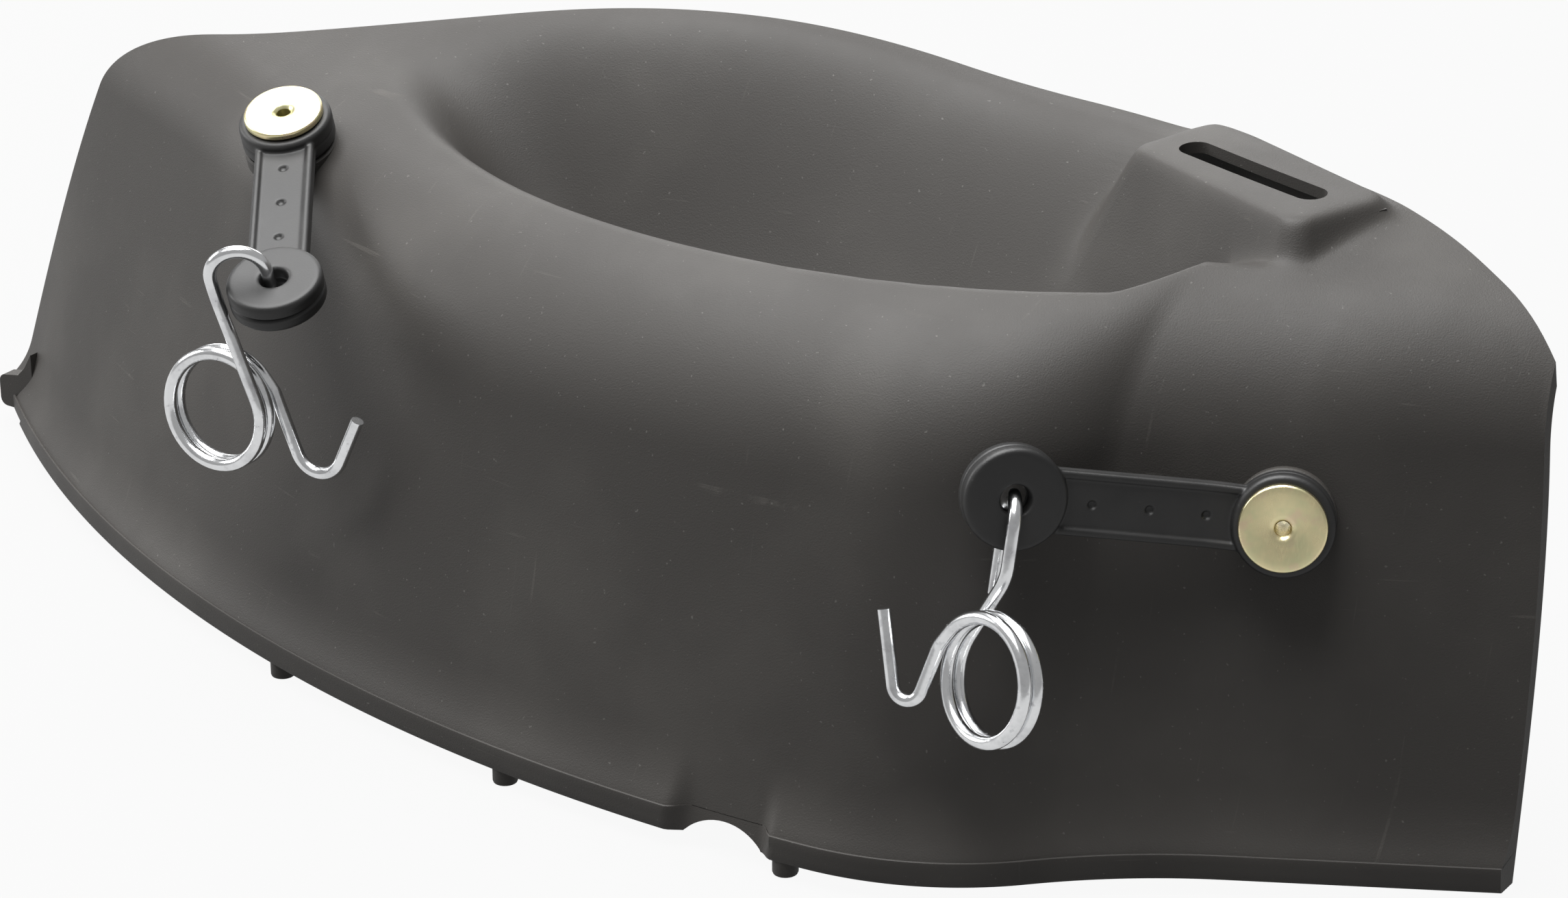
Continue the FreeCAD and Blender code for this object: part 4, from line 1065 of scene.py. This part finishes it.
def backing_washer(side):
    """Plain washer on its boss inside the moulding."""
    near = -SEAT_DEPTHS[side + "_strap_swivel"]
    hole = NECK_RADIUS + 0.05
    soft = 0.2
    outline = [(hole, near - WASHER_HEIGHT), (WASHER_RADIUS - soft, near - WASHER_HEIGHT),
               (WASHER_RADIUS, near - WASHER_HEIGHT + soft), (WASHER_RADIUS, near - soft),
               (WASHER_RADIUS - soft, near), (hole, near)]
    piece = object_from(turned_shape(outline, 72), side + "_washer_turned")
    placed(piece, mould_place(side + "_strap_swivel"))
    return finished(piece, side + "_backing_washer", RIVET_FINISH, "cover", "rivet_zinc",
                    side + "_rivet_washer")


for side in ("left", "right"):
    rivet(side)
    backing_washer(side)

# %% [markdown]
# Each spring is one wire: a free end, an arch that hangs in the strap, a leg, two close
# coils and an open hook. Its middle line is worked out in the spring's own axes, straight
# runs with arcs between them and a helix for the coils. A Geometry Nodes tree then draws
# the wire along that line, so the thickness stays one number.

# %% The springs' wire
WIRE = 3.5
COIL_RADIUS, COIL_PITCH = 15.3, 3.9
ARCH_RADIUS, KNEE_RADIUS, HOOK_START = 7.6, 12, 5
SPRINGS = {
    "right": {"leg_angle": 28.7, "leg": 18.8, "neck": 12.1, "neck_lean": 0, "arch_turn": -33,
              "stub": 19, "hook_angle": 35.2, "hook_turn": 24, "slant": 13.5, "shank": 27.9,
              "tip_slant": 16.1, "tip": 34.1, "yaw": 160.7, "lean": 14, "swing": -5.7,
              "grip": -6.95, "shift": 0, "hook": 4},
    "left": {"leg_angle": 21, "leg": 30, "neck": 5, "neck_lean": 20, "arch_turn": 30,
             "stub": 15, "hook_angle": 38, "hook_turn": 0, "slant": 22, "shank": 34.5,
             "tip_slant": 25, "tip": 31, "yaw": 6, "lean": -3.5, "swing": 2,
             "grip": 6, "shift": 1.2, "hook": 7.5}}
ARC_STEP = math.radians(7)


def arc_points(start, middle, stop, centre):
    """Points on the arc from start over middle to stop round centre."""
    first, last = start - centre, stop - centre
    half = first.angle(middle - centre)
    whole = half + (middle - centre).angle(last)
    axis = first.cross(middle - centre).normalized()
    steps = max(3, round(whole / ARC_STEP))
    return [centre + Matrix.Rotation(whole * i / steps, 3, axis) @ first
            for i in range(steps + 1)]


def rounded_run(corners, radii):
    """Points along straight runs joined by arcs."""
    points = [corners[0]]
    for before, at, after, radius in zip(corners, corners[1:], corners[2:], radii):
        back, ahead = (before - at).normalized(), (after - at).normalized()
        half = back.angle(ahead) / 2
        middle = (back + ahead).normalized()
        centre = at + middle * (radius / math.sin(half))
        cut = radius / math.tan(half)
        points += arc_points(at + back * cut, centre - middle * radius, at + ahead * cut, centre)
    return points + [corners[-1]]


def slanted(plan_turn, slant, sign):
    """Unit direction down or up, slanted outwards."""
    turn, tilt = math.radians(plan_turn), math.radians(slant)
    return Vector((math.cos(turn) * math.sin(tilt), math.sin(turn) * math.sin(tilt),
                   sign * math.cos(tilt)))


def coil_point(angle, across):
    turn = math.radians(angle)
    return Vector((COIL_RADIUS * math.cos(turn), across, COIL_RADIUS * math.sin(turn)))


def spring_line(size):
    """Middle line of a spring's wire in its own axes, and the point that hangs in the hole."""
    leg, leave = math.radians(size["leg_angle"]), math.radians(size["hook_angle"])
    start = coil_point(size["leg_angle"], 0)
    lead = COIL_PITCH / (2 * math.pi * COIL_RADIUS)
    up = Vector((-math.sin(leg), -lead, math.cos(leg))).normalized()
    knee = start + up * size["leg"]
    tilt = math.radians(size["neck_lean"])
    neck = Vector((0, -math.sin(tilt), math.cos(tilt)))
    foot = knee + neck * size["neck"]
    turn = math.radians(size["arch_turn"])
    aside = Vector((math.cos(turn), math.sin(turn), 0))
    aside = (aside - neck * aside.dot(neck)).normalized()
    far = foot + aside * (2 * ARCH_RADIUS)
    centre = foot + aside * ARCH_RADIUS
    points = [far - neck * size["stub"]]
    points += arc_points(far, centre + neck * ARCH_RADIUS, foot, centre)
    points += rounded_run([foot, knee, start], [KNEE_RADIUS])[1:]
    whole = size["leg_angle"] - size["hook_angle"] + 720
    steps = round(math.radians(whole) / ARC_STEP)
    points += [coil_point(size["leg_angle"] - whole * i / steps, COIL_PITCH * whole / 360 * i / steps)
               for i in range(1, steps + 1)]
    end = points[-1]
    out = Vector((math.sin(leave), lead, -math.cos(leave))).normalized()
    bend = end + out * HOOK_START
    low = bend + slanted(size["hook_turn"], size["slant"], -1) * size["shank"]
    tip = low + slanted(size["hook_turn"], size["tip_slant"], 1) * size["tip"]
    points += rounded_run([end, bend, low, tip], [HOOK_START, size["hook"]])[1:]
    hung = (far if size["grip"] > 0 else centre) - neck * size["grip"]
    return points, hung + aside * size["shift"]


def wire_tree():
    """Geometry Nodes: a round wire along the line, with closed ends."""
    tree, given, result = node_tree("wire_along_a_line", [("Thickness", "Float"),
                                                          ("Facets", "Int")])
    to_curve = tree.nodes.new("GeometryNodeMeshToCurve")
    circle = tree.nodes.new("GeometryNodeCurvePrimitiveCircle")
    halve = tree.nodes.new("ShaderNodeMath")
    halve.operation = "MULTIPLY"
    halve.inputs[1].default_value = 0.5
    skin_on = tree.nodes.new("GeometryNodeCurveToMesh")
    skin_on.inputs["Fill Caps"].default_value = True
    real = tree.nodes.new("GeometryNodeRealizeInstances")
    finish = tree.nodes.new("GeometryNodeSetMaterial")
    finish.inputs["Material"].default_value = WIRE_FINISH
    tree.links.new(given.outputs["Geometry"], to_curve.inputs["Mesh"])
    tree.links.new(given.outputs["Thickness"], halve.inputs[0])
    tree.links.new(halve.outputs["Value"], circle.inputs["Radius"])
    tree.links.new(given.outputs["Facets"], circle.inputs["Resolution"])
    tree.links.new(to_curve.outputs["Curve"], skin_on.inputs["Curve"])
    tree.links.new(circle.outputs["Curve"], skin_on.inputs["Profile Curve"])
    tree.links.new(skin_on.outputs["Mesh"], real.inputs["Geometry"])
    tree.links.new(real.outputs["Geometry"], finish.inputs["Geometry"])
    tree.links.new(finish.outputs["Geometry"], result.inputs["Geometry"])
    return tree


def spring(side, tree):
    """One wire spring hung in its strap."""
    size = SPRINGS[side]
    points, hung = spring_line(size)
    line = bpy.data.meshes.new("line")
    line.from_pydata(points, [(i, i + 1) for i in range(len(points) - 1)], [])
    piece = bpy.data.objects.new(side + "_line", line)
    bpy.context.scene.collection.objects.link(piece)
    piece = grown(piece, tree, {"Thickness": WIRE, "Facets": 20})
    turn = (Matrix.Rotation(math.radians(size["yaw"]), 4, "Z")
            @ Matrix.Rotation(math.radians(size["lean"]), 4, "X")
            @ Matrix.Rotation(math.radians(-size["swing"]), 4, "Y"))
    hole = Vector(JOINTS[side + "_spring_swing"]["pos_m"])
    piece.data.transform(Matrix.Translation(hole) @ Matrix.Scale(MM, 4) @ turn
                         @ Matrix.Translation(-hung))
    return finished(piece, side + "_wire_spring", WIRE_FINISH, side + "_spring_body",
                    "spring_wire", side + "_hook_spring")


WIRE_TREE = wire_tree()
for side in ("left", "right"):
    made = spring(side, WIRE_TREE)
    print(made.name, len(made.data.polygons), "faces")

# %% [markdown]
# The cover is seen from its front right, a little above, with a long lens on a white
# ground. Most light comes from a wide lamp overhead, so the top and the bowl are bright and
# the wall stays dark. Camera and mirror rays see the floor paler than it is, so the metal
# shows a bright studio while little light bounces up the wall.

# %% Floor, light and camera
CAMERA_AT = (0.6438, -0.8791, 0.5345)
CAMERA_TURN = (math.radians(66.5), 0, math.radians(34))
LENS = 99.04


def pale_floor():
    """A white floor that keeps the object's shadow."""
    finish = Finish("pale_floor")
    tree = finish.tree
    light_path = tree.nodes.new("ShaderNodeLightPath")
    seen = Value(finish, light_path.outputs["Is Camera Ray"]) + Value(
        finish, light_path.outputs["Is Glossy Ray"]) * 0.6
    glow = finish.node("ShaderNodeEmission", {}, {"Color": (1, 1, 1, 1), "Strength": 1.0})
    finish.set(Base_Color=(0.15, 0.15, 0.15, 1), Roughness=0.9)
    both = finish.node("ShaderNodeMixShader", {}, {0: seen * 0.93})
    tree.links.new(finish.shader.outputs["BSDF"], both.socket.node.inputs[1])
    tree.links.new(glow.socket, both.socket.node.inputs[2])
    tree.links.new(both.socket, tree.nodes["Material Output"].inputs["Surface"])
    return finish.material


def lamp(name, place, target, size, power):
    """A square soft lamp pointed at a target."""
    data = bpy.data.lights.new(name, "AREA")
    data.shape = "RECTANGLE"
    data.size, data.size_y = size
    data.energy = power
    lamp_object = bpy.data.objects.new(name, data)
    lamp_object.location = place
    aim = Vector(target) - Vector(place)
    lamp_object.rotation_euler = aim.to_track_quat("-Z", "Y").to_euler()
    bpy.context.scene.collection.objects.link(lamp_object)


floor_shape = bmesh.new()
corners = [floor_shape.verts.new((x, y, 0)) for x, y in ((-4, -4), (4, -4), (4, 4), (-4, 4))]
floor_shape.faces.new(corners)
floor = object_from(floor_shape, "floor")
floor.data.materials.append(pale_floor())

def white_studio(spread, mirrored):
    """An even white world: one strength for soft light, a higher one for mirror rays."""
    world = bpy.data.worlds.new("studio")
    world.use_nodes = True
    nodes, links = world.node_tree.nodes, world.node_tree.links
    light_path = nodes.new("ShaderNodeLightPath")
    strength = nodes.new("ShaderNodeMapRange")
    strength.inputs["To Min"].default_value = spread
    strength.inputs["To Max"].default_value = mirrored
    links.new(light_path.outputs["Is Glossy Ray"], strength.inputs["Value"])
    links.new(strength.outputs["Result"], nodes["Background"].inputs["Strength"])
    nodes["Background"].inputs["Color"].default_value = (1, 1, 1, 1)
    return world


bpy.context.scene.world = white_studio(0.14, 0.35)
lamp("overhead_key", (-0.3, -0.05, 1.65), (0, 0, 0.05), (1.7, 1.4), 70)
lamp("left_key", (-1.7, -0.5, 0.8), (0, 0, 0.08), (0.9, 0.7), 15)
lamp("rear_left", (-1.0, 1.5, 0.85), (0, 0, 0.1), (1.8, 0.7), 14)

camera_data = bpy.data.cameras.new("camera")
camera_data.lens = LENS
camera_data.sensor_width = 36
camera = bpy.data.objects.new("camera", camera_data)
camera.location = CAMERA_AT
camera.rotation_euler = CAMERA_TURN
bpy.context.scene.collection.objects.link(camera)
bpy.context.scene.camera = camera
bpy.context.scene.view_settings.view_transform = "Standard"
